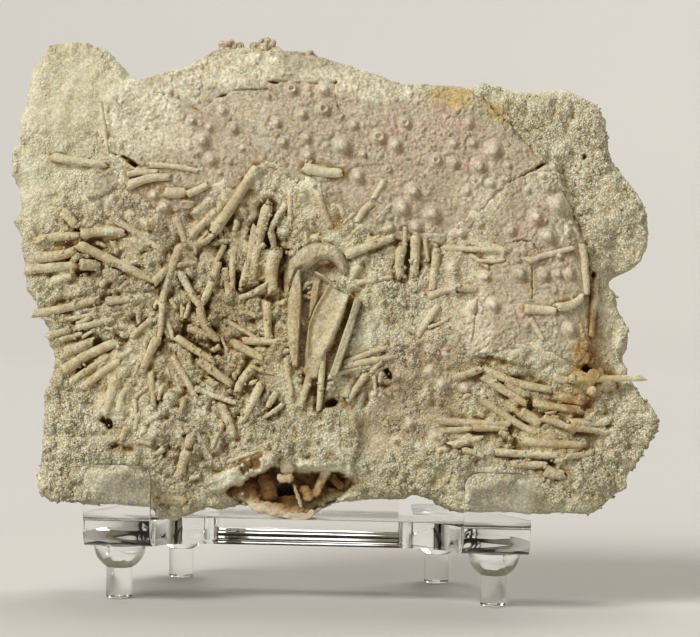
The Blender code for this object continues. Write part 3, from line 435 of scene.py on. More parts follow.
def frame_shift():
    """From the design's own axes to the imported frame, read off the stand."""
    low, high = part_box("stand_base")
    return Vector(((low.x + high.x) / 2 - STAND_X, low.y, 0))


def slab_placing():
    """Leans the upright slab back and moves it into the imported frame."""
    foot = frame_shift() + Vector((0, SLAB_FRONT_Y, SLAB_FOOT_Z))
    lean = Matrix.Rotation(-SLAB_LEAN, 4, "X")
    return Matrix.Translation(foot) @ lean @ Matrix.Translation((0, 0, -SLAB_FOOT_Z))


def view_axes():
    """The view's place and its forward and upward directions, before its roll."""
    forward = np.array([0, math.cos(VIEW_ELEVATION), -math.sin(VIEW_ELEVATION)])
    upward = np.array([0, math.sin(VIEW_ELEVATION), math.cos(VIEW_ELEVATION)])
    place = np.array([VIEW_AIM_X, 0, VIEW_AIM_Z]) - VIEW_DISTANCE * forward
    return place, forward, upward


def on_slab(px, py):
    """Where a pixel falls on the slab's face: x, and the height measured along the face."""
    place, forward, upward = view_axes()
    focal_px = VIEW_DISTANCE / METRES_PER_PX
    dx = np.asarray(px, float) - VIEW_CENTRE_PX[0]
    dy = np.asarray(py, float) - VIEW_CENTRE_PX[1]
    across = (dx * math.cos(VIEW_ROLL) + dy * math.sin(VIEW_ROLL)) / focal_px
    up = (dx * math.sin(VIEW_ROLL) - dy * math.cos(VIEW_ROLL)) / focal_px
    ray_y = forward[1] + up * upward[1]
    ray_z = forward[2] + up * upward[2]
    normal_y = -math.cos(SLAB_LEAN)
    normal_z = math.sin(SLAB_LEAN)
    to_face = (SLAB_FRONT_Y - place[1]) * normal_y + (SLAB_FOOT_Z - place[2]) * normal_z
    reach = to_face / (ray_y * normal_y + ray_z * normal_z)
    rise = place[2] + reach * ray_z - SLAB_FOOT_Z
    return place[0] + reach * across, SLAB_FOOT_Z + rise / math.cos(SLAB_LEAN)


def in_view(x, height):
    """The pixel of a point of the slab's face, the reverse of on_slab()."""
    place, forward, upward = view_axes()
    focal_px = VIEW_DISTANCE / METRES_PER_PX
    dy = SLAB_FRONT_Y + (height - SLAB_FOOT_Z) * math.sin(SLAB_LEAN) - place[1]
    dz = SLAB_FOOT_Z + (height - SLAB_FOOT_Z) * math.cos(SLAB_LEAN) - place[2]
    depth = dy * forward[1] + dz * forward[2]
    across = focal_px * (x - place[0]) / depth
    up = focal_px * (dy * upward[1] + dz * upward[2]) / depth
    px = VIEW_CENTRE_PX[0] + across * math.cos(VIEW_ROLL) + up * math.sin(VIEW_ROLL)
    py = VIEW_CENTRE_PX[1] + across * math.sin(VIEW_ROLL) - up * math.cos(VIEW_ROLL)
    return px, py


def fade_in(value, start, end):
    """0 up to the start, 1 from the end on, and a smooth rise between."""
    share = np.clip((value - start) / (end - start), 0, 1)
    return share * share * (3 - 2 * share)


def dome(distance):
    """The height of a round cross-section at this share of its half width."""
    return np.sqrt(np.clip(1 - distance**2, 0, 1))


def segment_distance(px, py, ax, ay, bx, by):
    """Distance in pixels to a segment, and how far along it the nearest point is."""
    edge_x, edge_y = bx - ax, by - ay
    along = np.clip(((px - ax) * edge_x + (py - ay) * edge_y) / (edge_x**2 + edge_y**2), 0, 1)
    return np.hypot(px - ax - along * edge_x, py - ay - along * edge_y), along


def path_distance(px, py, path):
    """Distance in pixels to the nearest part of a path."""
    nearest = np.full(np.shape(px), 1e9)
    for (ax, ay), (bx, by) in zip(path, path[1:]):
        nearest = np.minimum(nearest, segment_distance(px, py, ax, ay, bx, by)[0])
    return nearest


def depth_inside(px, py, outline):
    """Distance in pixels from each point to a closed outline, positive inside it."""
    inside = np.zeros(np.shape(px), bool)
    for (ax, ay), (bx, by) in zip(outline, outline[1:] + outline[:1]):
        if ay != by:
            inside ^= ((ay > py) != (by > py)) & (px < ax + (py - ay) / (by - ay) * (bx - ax))
    nearest = path_distance(px, py, outline + outline[:1])
    return np.where(inside, nearest, -nearest)


def value_noise(px, py, size, seed):
    """Smooth noise from -1 to 1 whose lumps are this many pixels across."""
    table = np.random.default_rng(seed).uniform(-1, 1, (NOISE_TABLE, NOISE_TABLE))
    column, row = np.floor(px / size).astype(int), np.floor(py / size).astype(int)
    u, v = px / size - column, py / size - row
    u, v = u * u * (3 - 2 * u), v * v * (3 - 2 * v)
    left, right = column % NOISE_TABLE, (column + 1) % NOISE_TABLE
    above, below = row % NOISE_TABLE, (row + 1) % NOISE_TABLE
    upper = table[above, left] * (1 - u) + table[above, right] * u
    lower = table[below, left] * (1 - u) + table[below, right] * u
    return upper * (1 - v) + lower * v


def fractal(px, py, size, seed, layers=3):
    """Noise with finer and weaker layers on top, turned so that no grid shows."""
    total = np.zeros(np.shape(px))
    for layer in range(layers):
        turn = 0.6 + 1.1 * layer
        u = px * math.cos(turn) - py * math.sin(turn) + 0.3 * size * np.sin(1.9 * py / size)
        v = px * math.sin(turn) + py * math.cos(turn) + 0.3 * size * np.sin(1.7 * px / size)
        total += value_noise(u, v, size / 2**layer, seed + layer) / 2**layer
    return total / 1.5


def grain_distance(px, py, size, seed):
    """Distance to the nearest of scattered points, in shares of their spacing in pixels."""
    jitter = np.random.default_rng(seed).uniform(0, 1, (2, NOISE_TABLE, NOISE_TABLE))
    u, v = px / size, py / size
    column, row = np.floor(u).astype(int), np.floor(v).astype(int)
    nearest = np.full(np.shape(px), 9.0)
    for right in (-1, 0, 1):
        for down in (-1, 0, 1):
            place = ((row + down) % NOISE_TABLE, (column + right) % NOISE_TABLE)
            away = np.hypot(column + right + jitter[0][place] - u, row + down + jitter[1][place] - v)
            nearest = np.minimum(nearest, away)
    return nearest


def ellipse_distance(px, py, cx, cy, half_width, half_height, turn):
    angle = math.radians(turn)
    u = ((px - cx) * math.cos(angle) + (py - cy) * math.sin(angle)) / half_width
    v = (-(px - cx) * math.sin(angle) + (py - cy) * math.cos(angle)) / half_height
    return np.hypot(u, v)


def zone(px, py, patches, seed):
    """A ragged mask from 0 to 1 over a list of elliptic patches."""
    mask = np.zeros(np.shape(px))
    ragged = 0.35 * fractal(px, py, 22, seed)
    for cx, cy, half_width, half_height, turn, strength in patches:
        distance = ellipse_distance(px, py, cx, cy, half_width, half_height, turn) + ragged
        mask = np.maximum(mask, strength * fade_in(distance, 1.25, 0.65))
    return mask


def swells(px, py):
    rise = np.zeros(np.shape(px))
    for cx, cy, half_width, half_height, turn, swell in SWELLS_PX:
        rise += swell * np.exp(-ellipse_distance(px, py, cx, cy, half_width, half_height, turn) ** 2)
    return rise


def relief(px, py):
    """How far the solid's face stands out of its mean plane, in millimetres."""
    rise = swells(px, py)
    for sheet_rise, outline in SHEETS_PX:
        inside = depth_inside(px, py, outline)
        rise += sheet_rise * fade_in(inside, -SHEET_EDGE_PX / 2, SHEET_EDGE_PX / 2)
    return rise


def blurred(grid, radius):
    """The grid after two passes of a box blur."""
    for _ in range(2):
        for axis in (0, 1):
            padded = np.pad(grid, [(radius + 1, radius) if a == axis else (0, 0) for a in (0, 1)], mode="edge")
            total = np.cumsum(padded, axis=axis)
            length = grid.shape[axis]
            high = np.take(total, range(2 * radius + 1, 2 * radius + 1 + length), axis=axis)
            low = np.take(total, range(0, length), axis=axis)
            grid = (high - low) / (2 * radius + 1)
    return grid


def sampled(grid, px, py):
    """Values of a one-a-pixel grid between its points."""
    px = np.clip(px, 0, grid.shape[1] - 1.001)
    py = np.clip(py, 0, grid.shape[0] - 1.001)
    column, row = px.astype(int), py.astype(int)
    u, v = px - column, py - row
    upper = grid[row, column] * (1 - u) + grid[row, column + 1] * u
    lower = grid[row + 1, column] * (1 - u) + grid[row + 1, column + 1] * u
    return upper * (1 - v) + lower * v


def hole_depth(px, py):
    depth = np.zeros(np.shape(px))
    for cx, cy, half_width, half_height, turn, deep in HOLES_PX:
        distance = ellipse_distance(px, py, cx, cy, half_width, half_height, turn)
        depth = np.maximum(depth, deep * fade_in(distance + 0.2 * fractal(px, py, 6, 81), 1.35, 0.6))
    return depth


def crack_depth(px, py):
    depth = np.zeros(np.shape(px))
    wobble_x = 1.6 * fractal(px, py, 12, 71)
    wobble_y = 1.6 * fractal(px, py, 12, 75)
    strength = 0.25 + 0.75 * fade_in(fractal(px, py, 16, 79), -0.35, 0.2)
    for deep, half_width, path in CRACKS_PX:
        distance = path_distance(px + wobble_x, py + wobble_y, path)
        depth = np.maximum(depth, deep * fade_in(distance, half_width * strength + 0.5, 0.1))
    return depth * strength


def edge_drop(px, py, from_edge_px):
    """How far the worn edge of the slab falls away, in millimetres."""
    edge_round = EDGE_ROUND * (0.8 + 0.6 * fractal(px, py, 26, 57)) / MM
    near_edge = 1 - np.clip(from_edge_px * METRES_PER_PX / MM / edge_round, 0, 1)
    return edge_round * (1 - np.sqrt(1 - near_edge**2))


def grain_strength(px, py):
    """How coarse the rock's grain is: little on its smooth lobes, most in its sugary parts."""
    strength = 0.62 + 0.35 * zone(px, py, COARSE_PX, 11) - 0.5 * zone(px, py, SMOOTH_PX, 13)
    return np.clip(strength + 0.35 * fractal(px, py, 20, 15), 0.15, 1)


def rock_map():
    """The rock's own face in millimetres, one value a pixel, before its grain and the fall at its edge."""
    px, py = GRID_X, GRID_Y
    loose = zone(px, py, LOOSE_PX, 17)
    cement = zone(px, py, CEMENT_PX, 19)
    rise = swells(px, py) + 2.3 * np.exp(-ellipse_distance(px, py, 371, 328, 15, 27, 10) ** 2)
    shelf_rise, shelf = CENTRE_SHELF_PX
    rise += shelf_rise * fade_in(depth_inside(px, py, shelf) + 4 * fractal(px, py, 9, 21), -3, 3)
    uneven = 0.3 + 0.7 * grain_strength(px, py)
    rise += 0.5 * fractal(px, py, 46, 31) + 1.2 * uneven * fractal(px, py, 17, 37) + 0.9 * cement
    rise -= loose * (0.2 + 2.3 * np.clip(fractal(px, py, 11, 53), 0, 1))
    for crust_rise, outline in CRUSTS_PX:
        inside = depth_inside(px, py, outline) + 1.8 * fractal(px, py, 7, 58)
        rise += fade_in(inside, -1.5, 1.5) * (crust_rise + 0.6 * fractal(px, py, 6, 62))
    for outline in (MAIN_TEST_PX[1], RIGHT_TEST_PX[1], LEFT_PLATE_PX[1], JAW_REGION_PX):
        inside = depth_inside(px, py, outline) + 4 * fractal(px, py, 12, 55) - 9 * cement
        under = fade_in(inside, 2, 8)
        rise = rise * (1 - under) + (swells(px, py) - 1.2) * under
    cavity = depth_inside(px, py, CAVITY_PX) + 3.2 * fractal(px, py, 7, 59)
    lumps = np.clip(1 - (grain_distance(px, py, 13, 65) / 0.7) ** 2, 0, 1)
    floor = -7.2 + 2.6 * lumps + 1.2 * fractal(px, py, 9, 66)
    floor += 3.4 * fade_in(ellipse_distance(px, py, 248, 492, 24, 11, 0), 1.2, 0.6)
    floor += 3.0 * fade_in(ellipse_distance(px, py, 338, 484, 14, 11, 0), 1.2, 0.6)
    floor -= 5.0 * fade_in(ellipse_distance(px, py, 285, 492, 10, 8, 0), 1.2, 0.7)
    share = fade_in(cavity, 0, 1.8)
    return rise * (1 - share) + floor * share


def grained(rock):
    """The rock's face with its lumps and grains, the tubercles that show through, cracks and holes."""
    px, py = GRID_X, GRID_Y
    grain = 0.30 * fractal(px, py, 8, 33, 2)
    clumps = fade_in(fractal(px, py, 11, 63, 4), 0.02, 0.16)
    grain += 0.45 * clumps
    for size, height, seed in ((14, 0.50, 41), (7, 0.46, 43), (3.4, 0.26, 47)):
        bump = np.clip(1 - (grain_distance(px, py, size, seed) / 0.72) ** 2, 0, 1)
        grain += height * (bump - 0.4)
    knobs, _ = tubercle_field(px, py, 39)
    rise = rock + grain_strength(px, py) * grain + knobs
    return rise - crack_depth(px, py) - hole_depth(px, py)


def tubercle_field(px, py, seed):
    """Low round knobs where spines once sat, in millimetres, and where smaller granules have room."""
    clear = np.ones(np.shape(px))
    knobs = np.zeros(np.shape(px))
    for cx, cy, radius in TUBERCLES_PX:
        away = np.hypot(px - cx, py - cy) / radius
        near = away < 2.0
        if not near.any():
            continue
        size = radius * METRES_PER_PX / MM
        distance = away[near] * (1 + 0.14 * fractal(px[near], py[near], 9, seed))
        boss = 0.44 * fade_in(distance, 1.15, 0.25)
        if (cx, cy) in CRATERS_PX:
            boss += 0.26 * np.exp(-(((distance - 0.46) / 0.16) ** 2)) - 0.30 * fade_in(distance, 0.42, 0.1)
        else:
            boss += 0.38 * dome(distance / 0.6)
        boss -= 0.12 * np.exp(-(((distance - 1.2) / 0.18) ** 2))
        knobs[near] = np.maximum(knobs[near], 0) + size * boss
        clear[near] = np.minimum(clear[near], fade_in(distance, 0.85, 1.3))
    return knobs, clear


def test_rise(px, py, sheet_rise, outline, seed):
    """The surface of a sheet of test in millimetres: its edge, tubercles, granules, pits and cracks."""
    inside = depth_inside(px, py, outline) + 4.0 * fractal(px, py, 10, seed)
    rise = swells(px, py) + sheet_rise - 1.6 * fade_in(inside, 3, -3)
    rise += 0.32 * fractal(px, py, 30, seed + 1) + 0.16 * fractal(px, py, 10, seed + 2)
    knobs, clear = tubercle_field(px, py, seed)
    rise += knobs
    patchy = 0.3 + 0.7 * fade_in(fractal(px, py, 24, seed + 8), -0.3, 0.3)
    for size, height, share, grain_seed in ((13.0, 0.36, 0.22, seed + 3), (5.0, 0.18, 0.34, seed + 4)):
        bump = dome(grain_distance(px, py, size, grain_seed) / share)
        rise += clear * patchy * height * bump
    crusted = fade_in(fractal(px, py, 14, seed + 9, 4), 0.16, 0.3) * (0.15 + 0.85 * clear)
    rise += crusted * (0.24 + 0.34 * fractal(px, py, 3.0, seed + 6))
    pitted = 0.25 + 0.75 * zone(px, py, PITTED_PX, seed + 10)
    pits = fade_in(grain_distance(px, py, 4.6, seed + 5), 0.30, 0.12)
    rise -= clear * (1 - crusted) * 0.24 * pitted * pits
    rise += (0.2 + 0.8 * clear) * 0.06 * fractal(px, py, 2.2, seed + 12, 2)
    return rise - crack_depth(px, py) - hole_depth(px, py)


def jaw_rise(px, py):
    """The jaws in low relief, in millimetres: arch, blades, plate and tooth over a hollow floor."""
    ground = swells(px, py)
    edge = depth_inside(px, py, JAW_REGION_PX)
    rise = ground - 1.0 + 0.25 * fractal(px, py, 9, 91)
    rise -= 1.2 * np.exp(-ellipse_distance(px, py, 366, 325, 8, 24, 10) ** 2)
    rise -= 3.0 * fade_in(ellipse_distance(px, py, 351, 291, 4, 8, 20), 1.3, 0.6)

    def raise_to(height, share):
        return np.where(share > 0, np.maximum(rise, ground + height * share - 1.0 * (1 - share)), rise)

    strip = fade_in(depth_inside(px, py, LEFT_STRIP_PX), -1, 1.5)
    rise = raise_to(0.6, strip)
    plate_depth = depth_inside(px, py, MIDDLE_PLATE_PX)
    left_ridge = np.exp(-((path_distance(px, py, PLATE_LEFT_RIDGE_PX) / 4) ** 2))
    right_ridge = np.exp(-((path_distance(px, py, PLATE_RIGHT_RIDGE_PX) / 5) ** 2))
    rise = raise_to(1.2 + 0.9 * left_ridge + 1.5 * right_ridge, fade_in(plate_depth, -1, 1.2))
    blade_depth = depth_inside(px, py, LEFT_BLADE_PX)
    rise = raise_to(2.2 + 0.05 * np.clip(blade_depth, 0, 6), fade_in(blade_depth, -1, 1))
    arch = depth_inside(px, py, ARCH_PX)
    band = 3.0 - 0.8 * fade_in(px, 335, 352) - 1.0 * fade_in(py, 258, 286) * (px < 304)
    rise = raise_to(band, dome(1 - np.clip(arch / 6.5, 0, 1)))
    rise += 0.25 * np.exp(-((path_distance(px, py, ARCH_RIDGE_PX) / 1.5) ** 2))
    rise = raise_to(2.5, dome(path_distance(px, py, STICK_PX) / 2.6))
    rise = raise_to(2.6, fade_in(path_distance(px, py, TOOTH_PX), 4.6, 3.2))
    rise -= 1.1 * fade_in(path_distance(px, py, ARCH_LIMB_CRACK_PX), 1.7, 0.5)
    rise -= 4.4 * fade_in(path_distance(px, py, DEEP_GROOVE_PX), 3.2, 1.5)
    rise -= 1.6 * fade_in(path_distance(px, py, SIDE_GROOVE_PX), 4.5, 1.5)
    rise -= 2.2 * fade_in(ellipse_distance(px, py, 325, 269, 12, 6, 0), 1.2, 0.6)
    rise -= 0.5 * fade_in(path_distance(px, py, ARCH_CRACK_PX), 1.2, 0.3)
    rise += 0.12 * fractal(px, py, 3.2, 95) + 0.18 * fractal(px, py, 9, 97)
    return rise - 1.6 * fade_in(edge, 2, -2)


def settle_spines(spines, top, piles):
    """How high each end of each spine's axis lies (mm), so that it rests on the face and on earlier spines."""
    places = []
    for x1, y1, x2, y2, width in spines:
        radius = width / 2 * METRES_PER_PX / MM
        along = np.linspace(0, 1, 24)
        px, py = x1 + (x2 - x1) * along, y1 + (y2 - y1) * along
        ground = relief(px, py)
        need = np.maximum(ground + 0.30 * radius, sampled(piles, px, py) + 0.25 * radius)
        need = np.minimum(need, ground + 0.30 * radius + 1.9)
        firsts = need[0] + np.linspace(0, 3, 31)
        seconds = np.max((need[None, 1:] - firsts[:, None] * (1 - along[None, 1:])) / along[None, 1:], axis=1)
        best = np.argmin(firsts + seconds)
        places.append((firsts[best], seconds[best]))
        left, right = int(min(x1, x2) - width), int(max(x1, x2) + width)
        upper, lower = int(min(y1, y2) - width), int(max(y1, y2) + width)
        window = (slice(upper, lower), slice(left, right))
        away, share = segment_distance(GRID_X[window], GRID_Y[window], x1, y1, x2, y2)
        crest = firsts[best] * (1 - share) + seconds[best] * share + radius * dome(away / (width / 2))
        crest = np.where(away < width / 2, crest, -99)
        piles[window] = np.maximum(piles[window], crest)
        top[window] = np.maximum(top[window], crest)
    return places


def fragments(top, piles):
    """Short broken pieces of spine that fill gaps between the long ones, and where they lie."""
    rng = np.random.default_rng(501)
    loose = zone(GRID_X, GRID_Y, LOOSE_PX, 17)
    along = np.linspace(0, 1, 9)
    found, places = [], []
    for _ in range(FRAGMENT_TRIES):
        px, py = rng.uniform(24, 620), rng.uniform(170, 480)
        length, width, turn = rng.uniform(7, 17), rng.uniform(3.5, 7), rng.uniform(0, math.pi)
        reach_x, reach_y = length / 2 * math.cos(turn), length / 2 * math.sin(turn)
        spots_x = px + reach_x * (2 * along - 1)
        spots_y = py + reach_y * (2 * along - 1)
        covered = sampled(piles, spots_x, spots_y).max() > -50
        if covered or sampled(loose, spots_x, spots_y).min() < 0.35:
            continue
        fragment = (px - reach_x, py - reach_y, px + reach_x, py + reach_y, width)
        places += settle_spines([fragment], top, piles)
        found.append(fragment)
    return found, places


def bank_up(rock, spines, places):
    """Rock that creeps up the sides of some spines and falls away beside others."""
    loose = zone(GRID_X, GRID_Y, LOOSE_PX, 17)
    for (x1, y1, x2, y2, width), (first, second) in zip(spines, places):
        radius = width / 2 * METRES_PER_PX / MM
        reach = width * 1.6
        window = (
            slice(int(min(y1, y2) - reach), int(max(y1, y2) + reach)),
            slice(int(min(x1, x2) - reach), int(max(x1, x2) + reach)),
        )
        px, py = GRID_X[window], GRID_Y[window]
        away, share = segment_distance(px, py, x1, y1, x2, y2)
        axis = first * (1 - share) + second * share
        cement = fractal(px, py, 20, 61)
        slope = 0.45 - 1.2 * np.clip(away / (width / 2) - 0.8, 0, 9)
        bank = axis + radius * slope + 0.35 * fractal(px, py, 7, 67)
        trench = 0.8 * radius * np.exp(-((away / (width / 2) - 1.3) ** 2) / 0.15) * loose[window]
        low = np.minimum(rock[window], axis + 0.2 * radius) - trench * fade_in(cement, 0.2, -0.3)
        share = fade_in(cement, 0.0, 0.35)
        banked = np.maximum(low, bank * share + low * (1 - share))
        rock[window] = np.where(away < reach, banked, rock[window])


def lay_bare(rock, spines, places):
    """Takes the grain off most of each spine again, so that only scraps of cement lie over it."""
    for (x1, y1, x2, y2, width), (first, second) in zip(spines, places):
        radius = width / 2 * METRES_PER_PX / MM
        reach = width / 2 + 2
        window = (
            slice(int(min(y1, y2) - reach), int(max(y1, y2) + reach + 1)),
            slice(int(min(x1, x2) - reach), int(max(x1, x2) + reach + 1)),
        )
        px, py = GRID_X[window], GRID_Y[window]
        away, share = segment_distance(px, py, x1, y1, x2, y2)
        axis = first * (1 - share) + second * share
        bare = fade_in(fractal(px, py, 15, 69), 0.2, 0.06) * (away < width / 2 + 1)
        limit = np.minimum(rock[window], axis + 0.25 * radius)
        rock[window] += bare * (limit - rock[window])


def add_object(name, data):
    made = bpy.data.objects.new(name, data)
    bpy.context.scene.collection.objects.link(made)
    return made


def mesh_of(source):
    """The evaluated mesh of an object, welded and with its place applied; the object is removed."""
    bpy.context.view_layer.update()
    graph = bpy.context.evaluated_depsgraph_get()
    mesh = bpy.data.meshes.new_from_object(source.evaluated_get(graph))
    mesh.transform(source.matrix_world)
    bpy.data.objects.remove(source)
    shape = bmesh.new()
    shape.from_mesh(mesh)
    bmesh.ops.remove_doubles(shape, verts=shape.verts, dist=WELD)
    bmesh.ops.recalc_face_normals(shape, faces=shape.faces)
    shape.to_mesh(mesh)
    shape.free()
    return mesh


def modified(mesh, kind, **settings):
    """The mesh after one modifier."""
    holder = add_object("shape", mesh)
    modifier = holder.modifiers.new(kind.title(), kind)
    for name, value in settings.items():
        setattr(modifier, name, value)
    return mesh_of(holder)


def flat_face(outline, thickness=0.0):
    """A flat outline in the level plane, filled, and this thick: half of it to each side."""
    curve = bpy.data.curves.new("outline", "CURVE")
    curve.dimensions = "2D"
    curve.fill_mode = "BOTH"
    curve.extrude = thickness / 2
    spline = curve.splines.new("POLY")
    spline.points.add(len(outline) - 1)
    for point, (u, v) in zip(spline.points, outline):
        point.co = (u, v, 0, 1)
    spline.use_cyclic_u = True
    return mesh_of(add_object("outline", curve))


def places_of(mesh):
    flat = np.empty(len(mesh.vertices) * 3, np.float32)
    mesh.vertices.foreach_get("co", flat)
    return flat.reshape(-1, 3).astype(float)


def move_to(mesh, places):
    mesh.vertices.foreach_set("co", places.astype(np.float32).ravel())
    mesh.update()


def write_values(mesh, name, values):
    layer = mesh.attributes.new(name, "FLOAT", "POINT")
    layer.data.foreach_set("value", values.astype(np.float32))


def mark(mesh, levels, stain_and_shade):
    """Vertex values that the stone's material reads: how deep each point lies in a hollow, for painted shade, its
    grain, its staining and paleness, and painted shade and light.
    """
    places = places_of(mesh)
    px, py = in_view(places[:, 0], places[:, 2])
    rise = -places[:, 1] / MM
    front = fade_in(rise, -9, -5)
    near, far = (sampled(level, px, py) for level in levels)
    # Painted shade: a point below its near and far surroundings, in the hollow at the foot or in the jaws' deep groove,
    # is marked to be darkened as if shaded.
    hollow = np.maximum((near - rise - 0.05) / 1.3, (far - rise - 0.4) / 2.8)
    hollow = np.maximum(hollow, sampled(stain_and_shade["cavity"], px, py) * fade_in(rise, 0.2, -1.9))
    hollow = np.maximum(hollow, sampled(stain_and_shade["groove"], px, py))
    write_values(mesh, "hollow", np.clip(hollow, 0, 1) * sampled(stain_and_shade["inner"], px, py) * front)
    write_values(mesh, "coarse", sampled(stain_and_shade["coarse"], px, py) * front + 0.8 * (1 - front))
    weathered = {
        "ochre": 0.6 * fade_in(fractal(px - 3 * rise, py + 4 * rise, 34, 361), 0.2, 0.6),
        "earth_and_shade": 0.5 * fade_in(fractal(px + 4 * rise, py - 3 * rise, 60, 351), -0.1, 0.5),
        "pale": 0.7 * fade_in(fractal(px + 3 * rise, py + 3 * rise, 45, 371), 0.0, 0.5),
    }
    for name in ("pink", "ochre", "rust", "earth_and_shade", "pale"):
        behind = weathered.get(name, 0) * (1 - front)
        write_values(mesh, name, sampled(stain_and_shade[name], px, py) * front + behind)


def surroundings(top, from_edge_px):
    """Two blurs of the face, near and far, that leave out what lies past the slab's outline."""
    inside = (from_edge_px > 0).astype(float)
    level = (top - edge_drop(GRID_X, GRID_Y, from_edge_px)) * inside
    return [blurred(level, radius) / np.maximum(blurred(inside, radius), 0.01) for radius in (4, 12)]


def stain_and_shade_maps(from_edge_px):
    """Grain, staining, paleness and painted shade and light of the face, one value a pixel: painted shade for the
    hollow at the foot and the jaws' deep groove, and on the tubercles a painted highlight and painted shade.
    """
    px, py = GRID_X, GRID_Y
    pale = zone(px, py, PALE_PX, 33)
    pink = zone(px, py, PINK_PX, 23)
    loose_gaps = fade_in(fractal(px, py, 10, 45), 0.0, 0.4)
    earth_and_shade = np.maximum(zone(px, py, EARTH_AND_SHADE_PX, 35), 0.55 * zone(px, py, LOOSE_PX, 17) * loose_gaps)
    for cx, cy, radius in TUBERCLES_PX:
        away = np.hypot(px - cx, py - cy) / radius
        # Painted highlight: a pale spot on the top of each tubercle.
        pale = np.maximum(pale, 0.7 * np.exp(-((away / 0.5) ** 2)))
        # A pink ring round each tubercle's boss: partly its own colour, partly painted shade on the flank.
        pink = np.maximum(pink, 0.7 * np.exp(-(((away - 0.9) / 0.3) ** 2)))
        # Brown on the lower right of each tubercle, the side away from the key light: partly staining, partly painted
        # shade.
        shaded_side = np.hypot(px - cx - 0.55 * radius, py - cy - 0.6 * radius) / radius
        earth_and_shade = np.maximum(earth_and_shade, 0.8 * np.exp(-((shaded_side / 0.5) ** 2)))
    smooth = np.ones(np.shape(px))
    for outline in (MAIN_TEST_PX[1], RIGHT_TEST_PX[1], LEFT_PLATE_PX[1]):
        smooth = np.minimum(smooth, 1 - 0.55 * fade_in(depth_inside(px, py, outline), -2, 8))
    _, clear = tubercle_field(px, py, 39)
    return {
        "inner": fade_in(from_edge_px, 2, 14),
        "cavity": fade_in(depth_inside(px, py, CAVITY_PX), -2, 2),
        "groove": fade_in(path_distance(px, py, DEEP_GROOVE_PX), 3.6, 1.8),
        "coarse": grain_strength(px, py) * smooth * (0.3 + 0.7 * clear),
        "pink": pink,
        "ochre": zone(px, py, OCHRE_PX, 27),
        "rust": zone(px, py, RUST_PX, 29),
        "earth_and_shade": earth_and_shade,
        "pale": pale,
    }


def finished(name, mesh, surface, slot, levels=None, stain_and_shade=None):
    """A piece in its place, with its material, riding on the one body."""
    if levels is not None:
        mark(mesh, levels, stain_and_shade)
        mesh.transform(slab_placing())
    mesh.materials.clear()
    mesh.materials.append(surface)
    piece = add_object(name, mesh)
    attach(piece, "root")
    return piece


def rough(places, size, layers=4):
    grain = (0.9, 2.0, layers)
    return np.array([noise.fractal(Vector(place) / size, *grain) for place in places])


def rock_mesh(rock):
    """The slab as a closed block of voxels, fine in front, with the rock's face and broken sides and back."""
    outline = [on_slab(px, py) for px, py in SLAB_OUTLINE_PX]
    mesh = flat_face([(float(x), float(height)) for x, height in outline], SLAB_THICKNESS)
    mesh.transform(Matrix.Translation((0, SLAB_THICKNESS / 2, 0)) @ Matrix.Rotation(math.radians(90), 4, "X"))
    mesh = modified(mesh, "REMESH", mode="VOXEL", voxel_size=BLOCK_VOXEL)
    shape = bmesh.new()
    shape.from_mesh(mesh)
    fronts = [face for face in shape.faces if face.calc_center_median().y < FRONT_BAND]
    centres = np.array([face.calc_center_median() for face in fronts])
    px, py = in_view(centres[:, 0], centres[:, 2])
    hidden = np.zeros(len(fronts), bool)
    for outline_px in (MAIN_TEST_PX[1], RIGHT_TEST_PX[1], JAW_REGION_PX):
        hidden |= (depth_inside(px, py, outline_px) > 12) & (centres[:, 1] < MM)
    edges = {edge for face, covered in zip(fronts, hidden) if not covered for edge in face.edges}
    bmesh.ops.subdivide_edges(shape, edges=list(edges), cuts=FRONT_CUTS, use_grid_fill=True)
    bmesh.ops.triangulate(shape, faces=[face for face in shape.faces if len(face.verts) > 4])
    shape.to_mesh(mesh)
    shape.free()

    places = places_of(mesh)
    normals = np.empty(len(mesh.vertices) * 3, np.float32)
    mesh.vertices.foreach_get("normal", normals)
    normals = normals.reshape(-1, 3)
    px, py = in_view(places[:, 0], places[:, 2])
    from_edge_px = depth_inside(px, py, SLAB_OUTLINE_PX)
    drop = edge_drop(px, py, from_edge_px) * MM
    lumps = np.clip(0.5 + rough(places, ROCK_GRAIN), 0, 1)
    fine = rough(places, 2.0 * MM, 4)
    ridges = np.abs(rough(places, RIDGE_SIZE, 3))
    depth = places[:, 1] / SLAB_THICKNESS
    wall = from_edge_px * METRES_PER_PX < EDGE_ROUND / 2
    coarse = 0.35 + 0.65 * sampled(grain_strength(GRID_X, GRID_Y), px, py)
    inward = (WALL_ROUGHNESS * lumps + RIDGE_DEPTH * ridges) * fade_in(depth, 0, 0.33) + 0.55 * MM * fine * coarse
    places[:, 0] -= normals[:, 0] * inward * wall
    places[:, 2] -= normals[:, 2] * inward * wall
    front = 1 - np.clip((depth - 0.2) / 0.5, 0, 1)
    back = np.clip(2 * depth - 1, 0, 1)
    places[:, 1] -= front * (sampled(rock, px, py) * MM - drop)
    places[:, 1] -= back * (drop + BACK_ROUGHNESS * lumps + 1.5 * RIDGE_DEPTH * ridges + 0.9 * MM * fine)
    lowest = SLAB_LOWEST_Z + SEAT_ROUGHNESS * lumps - SLAB_FOOT_Z
    lowest = SLAB_FOOT_Z + (lowest + places[:, 1] * math.sin(SLAB_LEAN)) / math.cos(SLAB_LEAN)
    places[:, 2] = np.maximum(places[:, 2], lowest)
    move_to(mesh, places)
    mesh.calc_loop_triangles()
    share = ROCK_TRIANGLES / len(mesh.loop_triangles)
    if share < 1:
        mesh = modified(mesh, "DECIMATE", ratio=share)
    mesh.shade_smooth()
    return mesh


